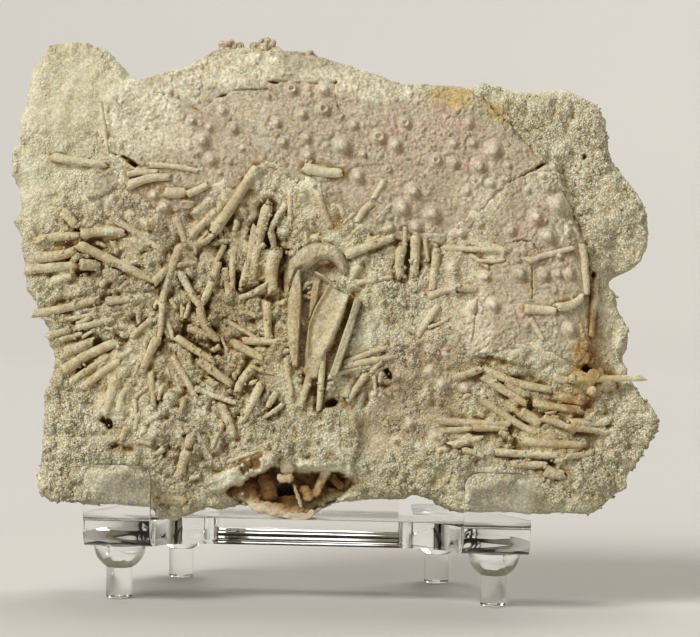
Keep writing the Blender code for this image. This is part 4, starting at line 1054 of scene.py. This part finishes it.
def sheet_mesh(outline, step, rise_at, floor_mm):
    """A closed sheet: a fine grid inside an outline of the face, with skirts and a flat back inside the rock."""
    corners = np.array(outline, float)
    low, high = corners.min(axis=0) - 4, corners.max(axis=0) + 4
    columns, rows = ((high - low) / step).astype(int)
    shape = bmesh.new()
    bmesh.ops.create_grid(shape, x_segments=columns, y_segments=rows, size=0.5)
    mesh = bpy.data.meshes.new("sheet")
    shape.to_mesh(mesh)
    shape.free()
    places = places_of(mesh)
    px = low[0] + (places[:, 0] + 0.5) * (high[0] - low[0])
    py = low[1] + (places[:, 1] + 0.5) * (high[1] - low[1])
    keep = depth_inside(px, py, outline) > -1.5
    rise = np.zeros(len(px))
    rise[keep] = rise_at(px[keep], py[keep])
    x, height = on_slab(px, py)
    move_to(mesh, np.stack([x, -rise * MM, height], axis=1))
    shape = bmesh.new()
    shape.from_mesh(mesh)
    shape.verts.ensure_lookup_table()
    bmesh.ops.delete(shape, geom=[vert for vert, kept in zip(shape.verts, keep) if not kept], context="VERTS")
    lone = [vert for vert in shape.verts if not vert.link_faces]
    bmesh.ops.delete(shape, geom=lone, context="VERTS")
    rim = [edge for edge in shape.edges if edge.is_boundary]
    skirt = bmesh.ops.extrude_edge_only(shape, edges=rim)["geom"]
    for item in skirt:
        if isinstance(item, bmesh.types.BMVert):
            item.co.y = -floor_mm * MM
    bmesh.ops.holes_fill(shape, edges=[edge for edge in shape.edges if edge.is_boundary], sides=0)
    bmesh.ops.triangulate(shape, faces=[face for face in shape.faces if len(face.verts) > 4])
    bmesh.ops.recalc_face_normals(shape, faces=shape.faces)
    shape.to_mesh(mesh)
    shape.free()
    mesh.shade_smooth()
    return mesh


def face_point(px, py, rise_mm):
    x, height = on_slab(px, py)
    return np.array([float(x), -rise_mm * MM, float(height)])


def spine_rings(spine, ends, rng, sides=18, rings=22):
    """The rings of one spine: slightly bent and tapered, lightly ribbed, cracked across, with broken ends."""
    x1, y1, x2, y2, width = spine
    start, end = face_point(x1, y1, ends[0]), face_point(x2, y2, ends[1])
    run = end - start
    length = np.linalg.norm(run)
    run = run / length
    side = np.cross(run, [0, 1, 0])
    side /= np.linalg.norm(side)
    up = np.cross(side, run)
    radius = width / 2 * METRES_PER_PX
    breaks = rng.uniform(0.15, 0.85, rng.integers(0, 2))
    half_crack = CRACK_WIDTH / 2 / length
    along = np.sort(np.concatenate([
        np.linspace(0, 1, rings), breaks - half_crack, breaks, breaks + half_crack,
    ]))
    worn = np.minimum(along, 1 - along) * length / radius
    waves = np.interp(along, np.linspace(0, 1, 7), rng.uniform(-0.045, 0.045, 7))
    size = 1.06 * radius * (1 - 0.2 * along) * (1 + waves)
    size *= 0.76 + 0.24 * fade_in(worn, 0, 0.5)
    size[np.isin(along, breaks)] *= 0.88
    if rng.random() < 0.25 and length > 6 * radius:
        size *= 1 + 0.14 * np.exp(-(((along * length / radius - 1.2) / 0.5) ** 2))
    bow = 0.3 * radius * rng.standard_normal() * np.sin(math.pi * along)
    for spot in breaks:
        bow += 0.10 * radius * rng.standard_normal() * (along > spot)
    turn = rng.random() * math.tau + np.arange(sides) * math.tau / sides
    ribs = 1 + 0.012 * np.cos(turn * sides / 2)
    spoke = np.cos(turn)[:, None] * side + np.sin(turn)[:, None] * up
    centres = start + along[:, None] * length * run + bow[:, None] * side
    rings_at = centres[:, None, :] + (size[:, None] * ribs[None, :])[:, :, None] * spoke[None, :, :]
    for ring in (0, -1):
        slant = 0.35 * rng.standard_normal() * np.cos(turn) + 0.16 * rng.standard_normal(sides)
        rings_at[ring] += run * (radius * slant)[:, None]
    return rings_at


def lofted(ring_sets):
    """One mesh of closed tubes, each from its rings, with fanned ends."""
    places, faces = [], []
    count = 0
    for rings_at in ring_sets:
        rings, sides = rings_at.shape[:2]
        places.append(rings_at.reshape(-1, 3))
        places.append(np.array([rings_at[0].mean(axis=0), rings_at[-1].mean(axis=0)]))
        ring, side = np.meshgrid(np.arange(rings - 1), np.arange(sides), indexing="ij")
        beside = (side + 1) % sides
        quads = np.stack([
            ring * sides + side, ring * sides + beside, (ring + 1) * sides + beside, (ring + 1) * sides + side,
        ], axis=-1).reshape(-1, 4) + count
        faces += quads.tolist()
        first, last = count + rings * sides, count + rings * sides + 1
        for index in range(sides):
            after = (index + 1) % sides
            faces.append([first, count + after, count + index])
            faces.append([last, count + (rings - 1) * sides + index, count + (rings - 1) * sides + after])
        count += rings * sides + 2
    mesh = bpy.data.meshes.new("tubes")
    mesh.from_pydata(np.concatenate(places).tolist(), [], faces)
    shape = bmesh.new()
    shape.from_mesh(mesh)
    bmesh.ops.recalc_face_normals(shape, faces=shape.faces)
    shape.to_mesh(mesh)
    shape.free()
    return mesh


def roughened(mesh, size, height):
    """The mesh with fine lumps along its normals."""
    places = places_of(mesh)
    normals = np.empty(len(mesh.vertices) * 3, np.float32)
    mesh.vertices.foreach_get("normal", normals)
    places += normals.reshape(-1, 3) * (height * rough(places, size, 3))[:, None]
    move_to(mesh, places)
    mesh.shade_smooth()
    mesh.set_sharp_from_angle(angle=math.radians(50))
    return mesh


def spines_mesh(spines, places, seed):
    rng = np.random.default_rng(seed)
    rings = [spine_rings(spine, ends, rng) for spine, ends in zip(spines, places)]
    return roughened(lofted(rings), 1.1 * MM, 0.10 * MM)


def band_rings(path, half_width_px, rises, thickness, sides=28, steps=40):
    """The rings of a rounded ledge along a path of the face, from one rise (mm) to another."""
    points = np.array(path, float)
    lengths = np.concatenate([[0], np.cumsum(np.hypot(*np.diff(points, axis=0).T))])
    along = np.linspace(0, lengths[-1], steps)
    px, py = np.interp(along, lengths, points[:, 0]), np.interp(along, lengths, points[:, 1])
    levels = np.linspace(*rises, steps)
    centres = np.array([face_point(x, y, level) for x, y, level in zip(px, py, levels)])
    runs = np.gradient(centres, axis=0)
    runs /= np.linalg.norm(runs, axis=1)[:, None]
    sides_at = np.cross(runs, [0, 1, 0])
    sides_at /= np.linalg.norm(sides_at, axis=1)[:, None]
    ups = np.cross(sides_at, runs)
    turn = np.arange(sides) * math.tau / sides
    from_end = np.minimum(along, lengths[-1] - along) / half_width_px
    radius = half_width_px * METRES_PER_PX * (0.25 + 0.75 * dome(1 - np.clip(from_end, 0, 1)))
    wide = (np.cos(turn)[None, :, None] * sides_at[:, None, :]) * radius[:, None, None]
    high = (np.sin(turn)[None, :, None] * ups[:, None, :]) * (radius * thickness)[:, None, None]
    return centres[:, None, :] + wide + high


def hollow_mesh():
    """The ledges that hang over the hollow, the lumps and blades in it, and the shell plate below."""
    rings = [
        band_rings(path, half_width, rises, thickness)
        for half_width, thickness, *rises, path in HOLLOW_PARTS_PX.values()
    ]
    mesh = lofted(rings)
    for size, height in ((2.6, 0.5), (0.7, 0.16)):
        mesh = roughened(mesh, size * MM, height * MM)
    return mesh


def lumps_mesh(top, from_edge_px):
    """Knobs on the edges of the slab."""
    shape = bmesh.new()
    rng = np.random.default_rng(401)
    for px, py, radius_px in KNOBS_PX:
        radius = radius_px * METRES_PER_PX
        spot = np.array([px]), np.array([py])
        drop = edge_drop(*spot, sampled(from_edge_px, *spot))
        place = face_point(px, py, float((sampled(top, *spot) - drop)[0]) - 0.3 * radius / MM)
        stretch = Matrix.Diagonal((*(radius * rng.uniform(0.75, 1.3, 3)), 1))
        placing = Matrix.Translation(place) @ Matrix.Rotation(rng.uniform(0, 3), 4, "Y") @ stretch
        bmesh.ops.create_icosphere(shape, subdivisions=4, radius=1.0, matrix=placing)
    mesh = bpy.data.meshes.new("lumps")
    shape.to_mesh(mesh)
    shape.free()
    for size, height in ((2.4, 0.4), (0.8, 0.14)):
        mesh = roughened(mesh, size * MM, height * MM)
    return mesh


def grain_shape():
    """A small octahedron to scatter: its points and its triangles."""
    points = np.array([(1, 0, 0), (-1, 0, 0), (0, 1, 0), (0, -1, 0), (0, 0, 1), (0, 0, -1)], float)
    faces = np.array([
        (0, 2, 4), (2, 1, 4), (1, 3, 4), (3, 0, 4), (2, 0, 5), (1, 2, 5), (3, 1, 5), (0, 3, 5),
    ])
    return points, faces


def grit_mesh(top, from_edge_px, density_at, spacing_px, radii_mm, seed):
    """Grains of rock scattered over parts of the face, each a small closed lump sunk in the surface."""
    rng = np.random.default_rng(seed)
    px, py = np.meshgrid(np.arange(8, 664, spacing_px), np.arange(34, 524, spacing_px))
    px = (px + rng.uniform(-0.5, 0.5, px.shape) * spacing_px).ravel()
    py = (py + rng.uniform(-0.5, 0.5, py.shape) * spacing_px).ravel()
    keep = (rng.random(px.shape) < density_at(px, py)) & (sampled(from_edge_px, px, py) > 0)
    px, py = px[keep], py[keep]
    count = len(px)
    low, high = radii_mm
    radius = low + (high - low) * rng.random(count) ** 2
    drop = edge_drop(px, py, sampled(from_edge_px, px, py))
    rise = sampled(top, px, py) - drop - radius * rng.uniform(0.1, 0.6, count)
    x, height = on_slab(px, py)
    centres = np.stack([x, -rise * MM, height], axis=1)
    points, faces = grain_shape()
    stretch = rng.uniform(0.8, 1.4, (count, 1, 3))
    jitter = 1 + rng.uniform(-0.25, 0.25, (count, len(points), 1))
    spins = rng.standard_normal((count, 3, 3))
    spins = np.linalg.qr(spins)[0]
    lumps = (points[None] * stretch * jitter) @ spins * (radius * MM)[:, None, None] + centres[:, None, :]
    index = faces[None] + (np.arange(count) * len(points))[:, None, None]
    mesh = bpy.data.meshes.new("grit")
    mesh.from_pydata(lumps.reshape(-1, 3).tolist(), [], index.reshape(-1, 3).tolist())
    shape = bmesh.new()
    shape.from_mesh(mesh)
    bmesh.ops.recalc_face_normals(shape, faces=shape.faces)
    shape.to_mesh(mesh)
    shape.free()
    tone = mesh.attributes.new("tone", "FLOAT", "POINT")
    tones = np.repeat(rng.uniform(-1, 1, count), len(points))
    tone.data.foreach_set("value", tones.astype(np.float32))
    mesh.shade_smooth()
    return mesh


def rounded(corners):
    """An outline whose corners, given as (u, v, radius), are replaced by arcs."""
    points = []
    count = len(corners)
    for index, (u, v, radius) in enumerate(corners):
        here = Vector((u, v))
        if not radius:
            points.append((u, v))
            continue
        back = (Vector(corners[index - 1][:2]) - here).normalized()
        ahead = (Vector(corners[(index + 1) % count][:2]) - here).normalized()
        half = back.angle(ahead) / 2
        middle = here + (back + ahead).normalized() * (radius / math.sin(half))
        start = here + back * (radius / math.tan(half)) - middle
        end = here + ahead * (radius / math.tan(half)) - middle
        turn = start.angle_signed(end)
        for step in range(ARC_STEPS + 1):
            spoke = start.copy()
            spoke.rotate(Matrix.Rotation(-turn * step / ARC_STEPS, 2))
            points.append(tuple(middle + spoke))
    return points


def flat_outline(bend):
    """The sheet before it is bent: two prongs that become the hooks, a notch between them, two legs behind,
    and between the legs the tongue that becomes the back rest."""
    prong_out = HOOK_SPACING / 2 + HOOK_WIDTH / 2
    prong_in = HOOK_SPACING / 2 - HOOK_WIDTH / 2
    rear_foot_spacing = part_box("foot_rear_right")[0].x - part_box("foot_rear_left")[0].x
    leg_out = rear_foot_spacing / 2 + REAR_LEG_WIDTH / 2
    leg_in = rear_foot_spacing / 2 - REAR_LEG_WIDTH / 2
    rest_out = REST_WIDTH / 2
    slot_end = (leg_in - rest_out) / 2 * SLOT_ROUND_SHARE
    right = [
        (prong_in, NOTCH_Y, NOTCH_CORNER),
        (prong_in, bend["hook_end"], HOOK_CORNER),
        (prong_out, bend["hook_end"], HOOK_CORNER),
        (prong_out, SHOULDER_Y, SHOULDER_CORNER),
        (leg_out, DECK_REAR_Y, LEG_CORNER),
        (leg_in, DECK_REAR_Y, LEG_CORNER),
        (leg_in, bend["rest_start"] - SHEET / 2, slot_end),
        (rest_out, bend["rest_start"] - SHEET / 2, slot_end),
        (rest_out, bend["rest_end"], REST_CORNER),
    ]
    left = [(-u, v, radius) for u, v, radius in reversed(right)]
    return rounded(right + left)


def bend_lines():
    """Where the two bends start and end along the flat sheet's middle plane."""
    radius = BEND_INNER + SHEET / 2
    middle_z = DECK_BOTTOM_Z + SHEET / 2
    hook_start = SHEET / 2 + radius
    hook_arc = radius * math.pi / 2
    rest_turn = math.pi / 2 - SLAB_LEAN
    rest_arc = radius * rest_turn
    back_y = SLAB_FRONT_Y + SLAB_THICKNESS / math.cos(SLAB_LEAN) + REST_GAP
    inner_end_z = middle_z + radius - BEND_INNER * math.cos(rest_turn)
    rest_start = (
        back_y - BEND_INNER * math.sin(rest_turn) - (SLAB_FOOT_Z - inner_end_z) / math.tan(rest_turn)
    )
    return {
        "radius": radius,
        "middle_z": middle_z,
        "hook_start": hook_start,
        "hook_arc": hook_arc,
        "hook_end": hook_start - hook_arc - (HOOK_TOP_Z - middle_z - radius),
        "rest_start": rest_start,
        "rest_turn": rest_turn,
        "rest_arc": rest_arc,
        "rest_end": rest_start + rest_arc + (REST_TOP_Z - middle_z - radius) / math.sin(rest_turn),
    }


def bent(run, radius, turn):
    """How far along and how high a point comes to lie that is this far past the start of a bend."""
    angle = min(run / radius, turn)
    straight = max(run - radius * turn, 0)
    along = radius * math.sin(angle) + straight * math.cos(turn)
    high = radius * (1 - math.cos(angle)) + straight * math.sin(turn)
    return along, high


def stand_mesh():
    """The sheet's flat outline, bent along its fold lines, with its thickness and softened edges."""
    bend = bend_lines()
    mesh = flat_face(flat_outline(bend))
    shape = bmesh.new()
    shape.from_mesh(mesh)
    for step in range(ARC_STEPS + 1):
        share = step / ARC_STEPS
        for cut_y in (
            bend["hook_start"] - bend["hook_arc"] * share,
            bend["rest_start"] + bend["rest_arc"] * share,
        ):
            bmesh.ops.bisect_plane(
                shape, geom=shape.verts[:] + shape.edges[:] + shape.faces[:],
                plane_co=(0, cut_y, 0), plane_no=(0, 1, 0),
            )
    for vert in shape.verts:
        past_hook = bend["hook_start"] - vert.co.y
        past_rest = vert.co.y - bend["rest_start"]
        if past_hook > 0:
            along, high = bent(past_hook, bend["radius"], math.pi / 2)
            vert.co.y = bend["hook_start"] - along
            vert.co.z = high
        elif past_rest > 0 and abs(vert.co.x) < REST_WIDTH / 2 + MM:
            along, high = bent(past_rest, bend["radius"], bend["rest_turn"])
            vert.co.y = bend["rest_start"] + along
            vert.co.z = high
    bmesh.ops.recalc_face_normals(shape, faces=shape.faces)
    shape.to_mesh(mesh)
    shape.free()
    shift = frame_shift()
    mesh.transform(Matrix.Translation((STAND_X + shift.x, shift.y, bend["middle_z"])))
    mesh = modified(mesh, "SOLIDIFY", thickness=SHEET, offset=0, use_even_offset=True)
    mesh = modified(
        mesh, "BEVEL", width=SHEET_EDGE_BEVEL, segments=3, limit_method="ANGLE", angle_limit=math.radians(40)
    )
    mesh.shade_smooth()
    mesh.set_sharp_from_angle(angle=math.radians(30))
    return mesh


def foot_mesh(node):
    """A round foot: a half ball under the sheet, with a peg below it."""
    low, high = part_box(node)
    shoulder = math.asin(PEG_RADIUS / FOOT_RADIUS)
    profile = [(0, high.z)]
    for step in range(FOOT_ARC_STEPS + 1):
        angle = math.pi / 2 + (shoulder - math.pi / 2) * step / FOOT_ARC_STEPS
        profile.append((FOOT_RADIUS * math.sin(angle), high.z - FOOT_RADIUS * math.cos(angle)))
    profile += [(PEG_RADIUS, PEG_EDGE), (PEG_RADIUS - PEG_EDGE, 0), (0, 0)]
    shape = bmesh.new()
    corners = [shape.verts.new((radius, 0, z)) for radius, z in profile]
    for start, end in zip(corners, corners[1:]):
        shape.edges.new((start, end))
    mesh = bpy.data.meshes.new("foot")
    shape.to_mesh(mesh)
    shape.free()
    mesh = modified(
        mesh, "SCREW", axis="Z", angle=math.tau, steps=FOOT_SIDES, render_steps=FOOT_SIDES,
        use_merge_vertices=True, merge_threshold=WELD,
    )
    mesh.transform(Matrix.Translation(((low.x + high.x) / 2, (low.y + high.y) / 2, 0)))
    mesh.shade_smooth()
    mesh.set_sharp_from_angle(angle=math.radians(35))
    return mesh


class Nodes:
    """A short way to write a material's nodes."""

    def __init__(self, name):
        self.material = bpy.data.materials.new(name)
        self.material.use_nodes = True
        self.tree = self.material.node_tree
        self.shader = self.tree.nodes["Principled BSDF"]
        self.place = self.tree.nodes.new("ShaderNodeTexCoord").outputs["Object"]

    def add(self, kind, inputs=(), **settings):
        made = self.tree.nodes.new(kind)
        for name, value in settings.items():
            setattr(made, name, value)
        for key, value in dict(inputs).items():
            if isinstance(value, bpy.types.NodeSocket):
                self.tree.links.new(value, made.inputs[key])
            else:
                made.inputs[key].default_value = value
        return made

    def noise(self, size, detail=3.0, roughness=0.55):
        """Cloudy noise whose lumps are about this large, in metres."""
        made = self.add(
            "ShaderNodeTexNoise",
            {"Vector": self.place, "Scale": 1 / size, "Detail": detail, "Roughness": roughness},
        )
        return made.outputs["Fac"]

    def cells(self, size):
        """Distance to the nearest grain centre and the grain's own tone, for grains this large in metres."""
        made = self.add("ShaderNodeTexVoronoi", {"Vector": self.place, "Scale": 1 / size})
        return made.outputs["Distance"], made.outputs["Color"]

    def scaled(self, colour, factor):
        """A colour made darker or lighter by a factor."""
        return self.add("ShaderNodeVectorMath", {0: colour, 3: factor}, operation="SCALE").outputs[0]

    def value(self, name):
        """A value that is written on the mesh's points."""
        return self.add("ShaderNodeAttribute", attribute_name=name).outputs["Fac"]

    def spread(self, socket, low, high, to_low=0.0, to_high=1.0):
        made = self.add("ShaderNodeMapRange", {0: socket, 1: low, 2: high, 3: to_low, 4: to_high})
        return made.outputs[0]

    def maths(self, operation, first, second):
        return self.add("ShaderNodeMath", {0: first, 1: second}, operation=operation).outputs[0]

    def mix(self, share, first, second, blend="MIX"):
        """Two colours mixed by a share."""
        made = self.add("ShaderNodeMix", {0: share}, data_type="RGBA", blend_type=blend)
        for index, value in ((6, first), (7, second)):
            if isinstance(value, bpy.types.NodeSocket):
                self.tree.links.new(value, made.inputs[index])
            else:
                made.inputs[index].default_value = (*value, 1)
        return made.outputs[2]

    def bump(self, height, distance, strength=1.0, under=None):
        inputs = {"Height": height, "Distance": distance, "Strength": strength}
        if under is not None:
            inputs["Normal"] = under
        return self.add("ShaderNodeBump", inputs).outputs["Normal"]

    def set(self, **inputs):
        for name, value in inputs.items():
            socket = self.shader.inputs[name.replace("_", " ")]
            if isinstance(value, bpy.types.NodeSocket):
                self.tree.links.new(value, socket)
            else:
                socket.default_value = value


PINK = (0.56, 0.43, 0.35)
OCHRE = (0.60, 0.44, 0.17)
RUST = (0.34, 0.17, 0.05)
EARTH_AND_SHADE = (0.33, 0.215, 0.10)
PALE = (0.83, 0.82, 0.645)
# Painted shade colours for the hollows: a deep brown and a warm tint.
HOLLOW_SHADE_BROWN = (0.15, 0.07, 0.022)
HOLLOW_SHADE_TINT = (0.86, 0.71, 0.46)
DIRT_TINT = (0.72, 0.55, 0.31)


def fossil_material(name, light, dark, mottling, gap_shade_share, fine_bump):
    """Matt mineral: cloudy tone, specks, staining where it is marked, painted shade in the gaps between grains and in
    the hollows, and the painted shade and highlight marks of the face.
    """
    n = Nodes(name)
    colour = n.mix(n.spread(n.noise(9 * MM, 5, 0.6), 0.38, 0.62), dark, light)
    colour = n.mix(n.maths("MULTIPLY", n.value("pink"), n.spread(n.noise(4 * MM, 3), 0.38, 0.6, 0.05, 0.8)), colour, PINK)
    colour = n.mix(n.maths("MULTIPLY", n.value("ochre"), n.spread(n.noise(3 * MM, 4), 0.3, 0.6, 0.2, 0.8)), colour, OCHRE)
    colour = n.mix(n.maths("MULTIPLY", n.value("rust"), n.spread(n.noise(2.5 * MM, 4), 0.3, 0.6)), colour, RUST)
    # Brown: partly staining, partly painted shade.
    colour = n.mix(n.maths("MULTIPLY", n.value("earth_and_shade"), n.spread(n.noise(3 * MM, 4), 0.3, 0.6, 0.5, 0.9)), colour, EARTH_AND_SHADE)
    # Pale: partly the rock's own paler patches, partly painted light behind the hooks and a painted highlight on the
    # tubercles.
    colour = n.mix(n.maths("MULTIPLY", n.value("pale"), n.spread(n.noise(2 * MM, 3), 0.3, 0.6, 0.2, 0.8)), colour, PALE)
    coarse = n.value("coarse")
    mottle, fine = n.noise(1.7 * MM, 5, 0.65), n.noise(0.5 * MM, 3, 0.6)
    grains, grain_tone = n.cells(0.55 * MM)
    dirty = n.spread(coarse, 0.1, 0.9, 0.4 * mottling, mottling)
    mottled = n.maths("MULTIPLY", n.spread(mottle, 0.50, 0.34), dirty)
    colour = n.mix(mottled, colour, DIRT_TINT, "MULTIPLY")
    specked = n.maths("MULTIPLY", n.spread(fine, 0.51, 0.36), dirty)
    colour = n.mix(specked, colour, DIRT_TINT, "MULTIPLY")
    colour = n.scaled(colour, n.spread(grain_tone, 0.25, 0.75, 1 - 0.18 * mottling, 1 + 0.18 * mottling))
    colour = n.scaled(colour, n.spread(n.value("tone"), -1, 1, 0.88, 1.12))
    # Painted shade in the gaps between grains, strongest where the grain is coarse.
    gap_shade = n.maths("MULTIPLY", n.spread(grains, 0.45, 0.75), n.maths("MULTIPLY", coarse, gap_shade_share))
    colour = n.mix(gap_shade, colour, tuple(0.45 * part * tint for part, tint in zip(dark, (1.1, 0.95, 0.7))))
    # Painted shade in the hollows: a warm tint, then deep brown where the hollow value is high.
    colour = n.mix(n.spread(n.value("hollow"), 0.08, 0.7), colour, HOLLOW_SHADE_TINT, "MULTIPLY")
    colour = n.mix(n.spread(n.value("hollow"), 0.3, 1.0, 0.0, 0.88), colour, HOLLOW_SHADE_BROWN)
    lumps = n.bump(mottle, 3 * fine_bump, n.spread(coarse, 0.1, 1, 0.2, 1.0))
    lumps = n.bump(fine, fine_bump, n.spread(coarse, 0.1, 0.7, 0.35, 0.9), lumps)
    height = n.maths("MULTIPLY", n.spread(grains, 0.7, 0.1), coarse)
    lumps = n.bump(height, 1.4 * fine_bump, 0.8, lumps)
    n.set(Base_Color=colour, Roughness=0.88, Normal=lumps)
    n.shader.inputs["Specular IOR Level"].default_value = 0.3
    return n.material


def acrylic_material():
    """Clear polished plastic with faint wear on its surface."""
    n = Nodes("clear_acrylic")
    wear = n.spread(n.noise(1.2 * MM, 4), 0.45, 0.8, 0.01, 0.06)
    n.set(Roughness=wear, Normal=n.bump(n.noise(9 * MM, 2), 0.05 * MM, 0.25))
    n.shader.inputs["Base Color"].default_value = (1.0, 0.998, 0.985, 1)
    n.shader.inputs["Transmission Weight"].default_value = 1.0
    n.shader.inputs["IOR"].default_value = 1.49
    volume = n.add("ShaderNodeVolumeAbsorption", {"Color": (0.86, 0.90, 0.84, 1), "Density": 4.0})
    n.tree.links.new(volume.outputs[0], n.tree.nodes["Material Output"].inputs["Volume"])
    return n.material


def floor_material():
    n = Nodes("floor")
    tone = n.mix(n.spread(n.noise(400 * MM, 2), 0.3, 0.7), (0.545, 0.53, 0.505), (0.56, 0.545, 0.52))
    n.set(Base_Color=tone, Roughness=0.7)
    return n.material


def stage():
    """A pale floor that curves up into a plain wall behind."""
    wall_y, radius, front_y, top_z, half_width = 2.4, 0.9, -2.4, 3.0, 3.2
    profile = [(front_y, 0.0)]
    for step in range(25):
        angle = math.pi / 2 * step / 24
        profile.append((wall_y - radius + radius * math.sin(angle), radius - radius * math.cos(angle)))
    profile.append((wall_y, top_z))
    shape = bmesh.new()
    rows = [[shape.verts.new((x, y, z - FLOOR_GAP)) for y, z in profile] for x in (-half_width, half_width)]
    for index in range(len(profile) - 1):
        shape.faces.new((rows[0][index], rows[1][index], rows[1][index + 1], rows[0][index + 1]))
    mesh = bpy.data.meshes.new("floor")
    shape.to_mesh(mesh)
    shape.free()
    mesh.shade_smooth()
    mesh.materials.append(floor_material())
    add_object("floor", mesh)


def area_light(name, place, target, size, power, colour=(1, 1, 1)):
    lamp = bpy.data.lights.new(name, "AREA")
    lamp.shape = "DISK"
    lamp.size = size
    lamp.energy = power
    lamp.color = colour
    light = add_object(name, lamp)
    light.location = place
    light.rotation_euler = (Vector(target) - Vector(place)).to_track_quat("-Z", "Y").to_euler()


def lights():
    middle = (0, 0, 0.07)
    area_light("key", (-1.7, -1.7, 2.1), middle, 1.2, 65, (1.0, 0.99, 0.97))
    area_light("soft_key", (-1.6, -1.9, 1.9), middle, 2.2, 38, (1.0, 0.99, 0.97))
    area_light("fill", (0.9, -1.1, 0.5), middle, 1.2, 0.8, (1.0, 0.95, 0.86))
    area_light("back", (1.3, 1.7, 1.7), middle, 1.4, 16, (1.0, 0.98, 0.95))
    area_light("wall", (0.0, 1.0, 2.6), (0, 2.2, 0.6), 1.5, 30)
    world = bpy.context.scene.world or bpy.data.worlds.new("world")
    bpy.context.scene.world = world
    world.use_nodes = True
    world.node_tree.nodes["Background"].inputs["Color"].default_value = (1.0, 0.83, 0.60, 1)
    world.node_tree.nodes["Background"].inputs["Strength"].default_value = 0.18


def camera():
    """The photographer's view, rolled as it was held."""
    place, forward, upward = view_axes()
    forward, upward = Vector(forward), Vector(upward)
    right = Vector((1, 0, 0))
    rolled_right = right * math.cos(VIEW_ROLL) + upward * math.sin(VIEW_ROLL)
    rolled_up = upward * math.cos(VIEW_ROLL) - right * math.sin(VIEW_ROLL)
    lens = bpy.data.cameras.new("camera")
    lens.sensor_width = SENSOR_MM
    lens.lens = SENSOR_MM * VIEW_DISTANCE / METRES_PER_PX / VIEW_WIDTH_PX
    lens.clip_start = 0.01
    viewer = add_object("camera", lens)
    turning = Matrix((rolled_right, rolled_up, -forward)).transposed().to_4x4()
    viewer.matrix_world = Matrix.Translation(Vector(place) + frame_shift()) @ turning
    bpy.context.scene.camera = viewer


def fossil():
    rock = rock_map()
    top = rock.copy()
    for sheet_rise, outline in (MAIN_TEST_PX, RIGHT_TEST_PX, LEFT_PLATE_PX):
        inside = depth_inside(GRID_X, GRID_Y, outline)
        top = np.where(inside > 2, np.maximum(top, swells(GRID_X, GRID_Y) + sheet_rise), top)
    piles = np.full(rock.shape, -99.0)
    settled = {}
    groups = {"spines_left": LEFT_SPINES_PX, "spines_centre": CENTRE_SPINES_PX, "spines_right": RIGHT_SPINES_PX}
    for name, spines in groups.items():
        settled[name] = settle_spines(spines, top, piles)
    groups["spine_fragments"], settled["spine_fragments"] = fragments(top, piles)
    for name, spines in groups.items():
        bank_up(rock, spines, settled[name])

    rock = grained(rock)
    for name, spines in groups.items():
        lay_bare(rock, spines, settled[name])
    top = np.maximum(top, rock)
    from_edge_px = depth_inside(GRID_X, GRID_Y, SLAB_OUTLINE_PX)
    marks = surroundings(top, from_edge_px), stain_and_shade_maps(from_edge_px)

    rock_stone = fossil_material("limestone", (0.75, 0.745, 0.575), (0.65, 0.635, 0.465), 0.75, 0.8, 0.28 * MM)
    test_stone = fossil_material("urchin_test", (0.52, 0.48, 0.36), (0.42, 0.38, 0.27), 0.9, 0.4, 0.19 * MM)
    spine_stone = fossil_material("urchin_spine", (0.67, 0.64, 0.465), (0.575, 0.53, 0.36), 0.6, 0.2, 0.10 * MM)
    jaw_stone = fossil_material("urchin_jaw", (0.61, 0.585, 0.44), (0.50, 0.465, 0.33), 0.6, 0.1, 0.08 * MM)

    matrix = finished("rock_matrix", rock_mesh(rock), rock_stone, "limestone", *marks)
    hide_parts("fossil_slab")
    for name, (sheet_rise, outline), step, seed in (
        ("test_main", MAIN_TEST_PX, 0.85, 101),
        ("test_right", RIGHT_TEST_PX, 0.6, 131),
        ("test_plate", LEFT_PLATE_PX, 0.8, 151),
    ):
        mesh = sheet_mesh(outline, step, lambda px, py: test_rise(px, py, sheet_rise, outline, seed), -4.0)
        finished(name, mesh, test_stone, "limestone", *marks)
    finished("jaws", sheet_mesh(JAW_REGION_PX, 0.6, jaw_rise, -6.0), jaw_stone, "limestone", *marks)
    for index, (name, spines) in enumerate(groups.items()):
        finished(name, spines_mesh(spines, settled[name], 201 + index), spine_stone, "limestone", *marks)
    crust_stone = fossil_material("crust", (0.72, 0.66, 0.47), (0.62, 0.54, 0.37), 0.35, 0.1, 0.08 * MM)
    finished("hollow_crust", hollow_mesh(), crust_stone, "limestone", *marks)
    finished("knobs", lumps_mesh(top, from_edge_px), rock_stone, "limestone", *marks)

    def grit_density(px, py):
        return fade_in(grain_strength(px, py), 0.5, 1.0) * fade_in(fractal(px, py, 20, 321), -0.5, 0.3)

    def crumb_density(px, py):
        return 0.7 * zone(px, py, LOOSE_PX, 17) * fade_in(fractal(px, py, 14, 331), -0.2, 0.4)

    fine_grit = grit_mesh(rock, from_edge_px, grit_density, 3.0, (0.2, 0.72), 301)
    finished("fine_grit", fine_grit, rock_stone, "limestone", *marks)
    crumbs = grit_mesh(top, from_edge_px, crumb_density, 5.0, (0.3, 0.9), 311)
    finished("crumbs", crumbs, rock_stone, "limestone", *marks)


def stand():
    acrylic = acrylic_material()
    sheet = finished("stand_sheet", stand_mesh(), acrylic, "clear_acrylic")
    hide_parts("stand_base")
    for node in ("foot_front_left", "foot_front_right", "foot_rear_left", "foot_rear_right"):
        foot = finished(node.replace("foot", "round_foot"), foot_mesh(node), acrylic, "clear_acrylic")
        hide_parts(node)


def main():
    camera()
    stage()
    lights()
    fossil()
    stand()
    bpy.context.scene.view_settings.view_transform = "Standard"


main()
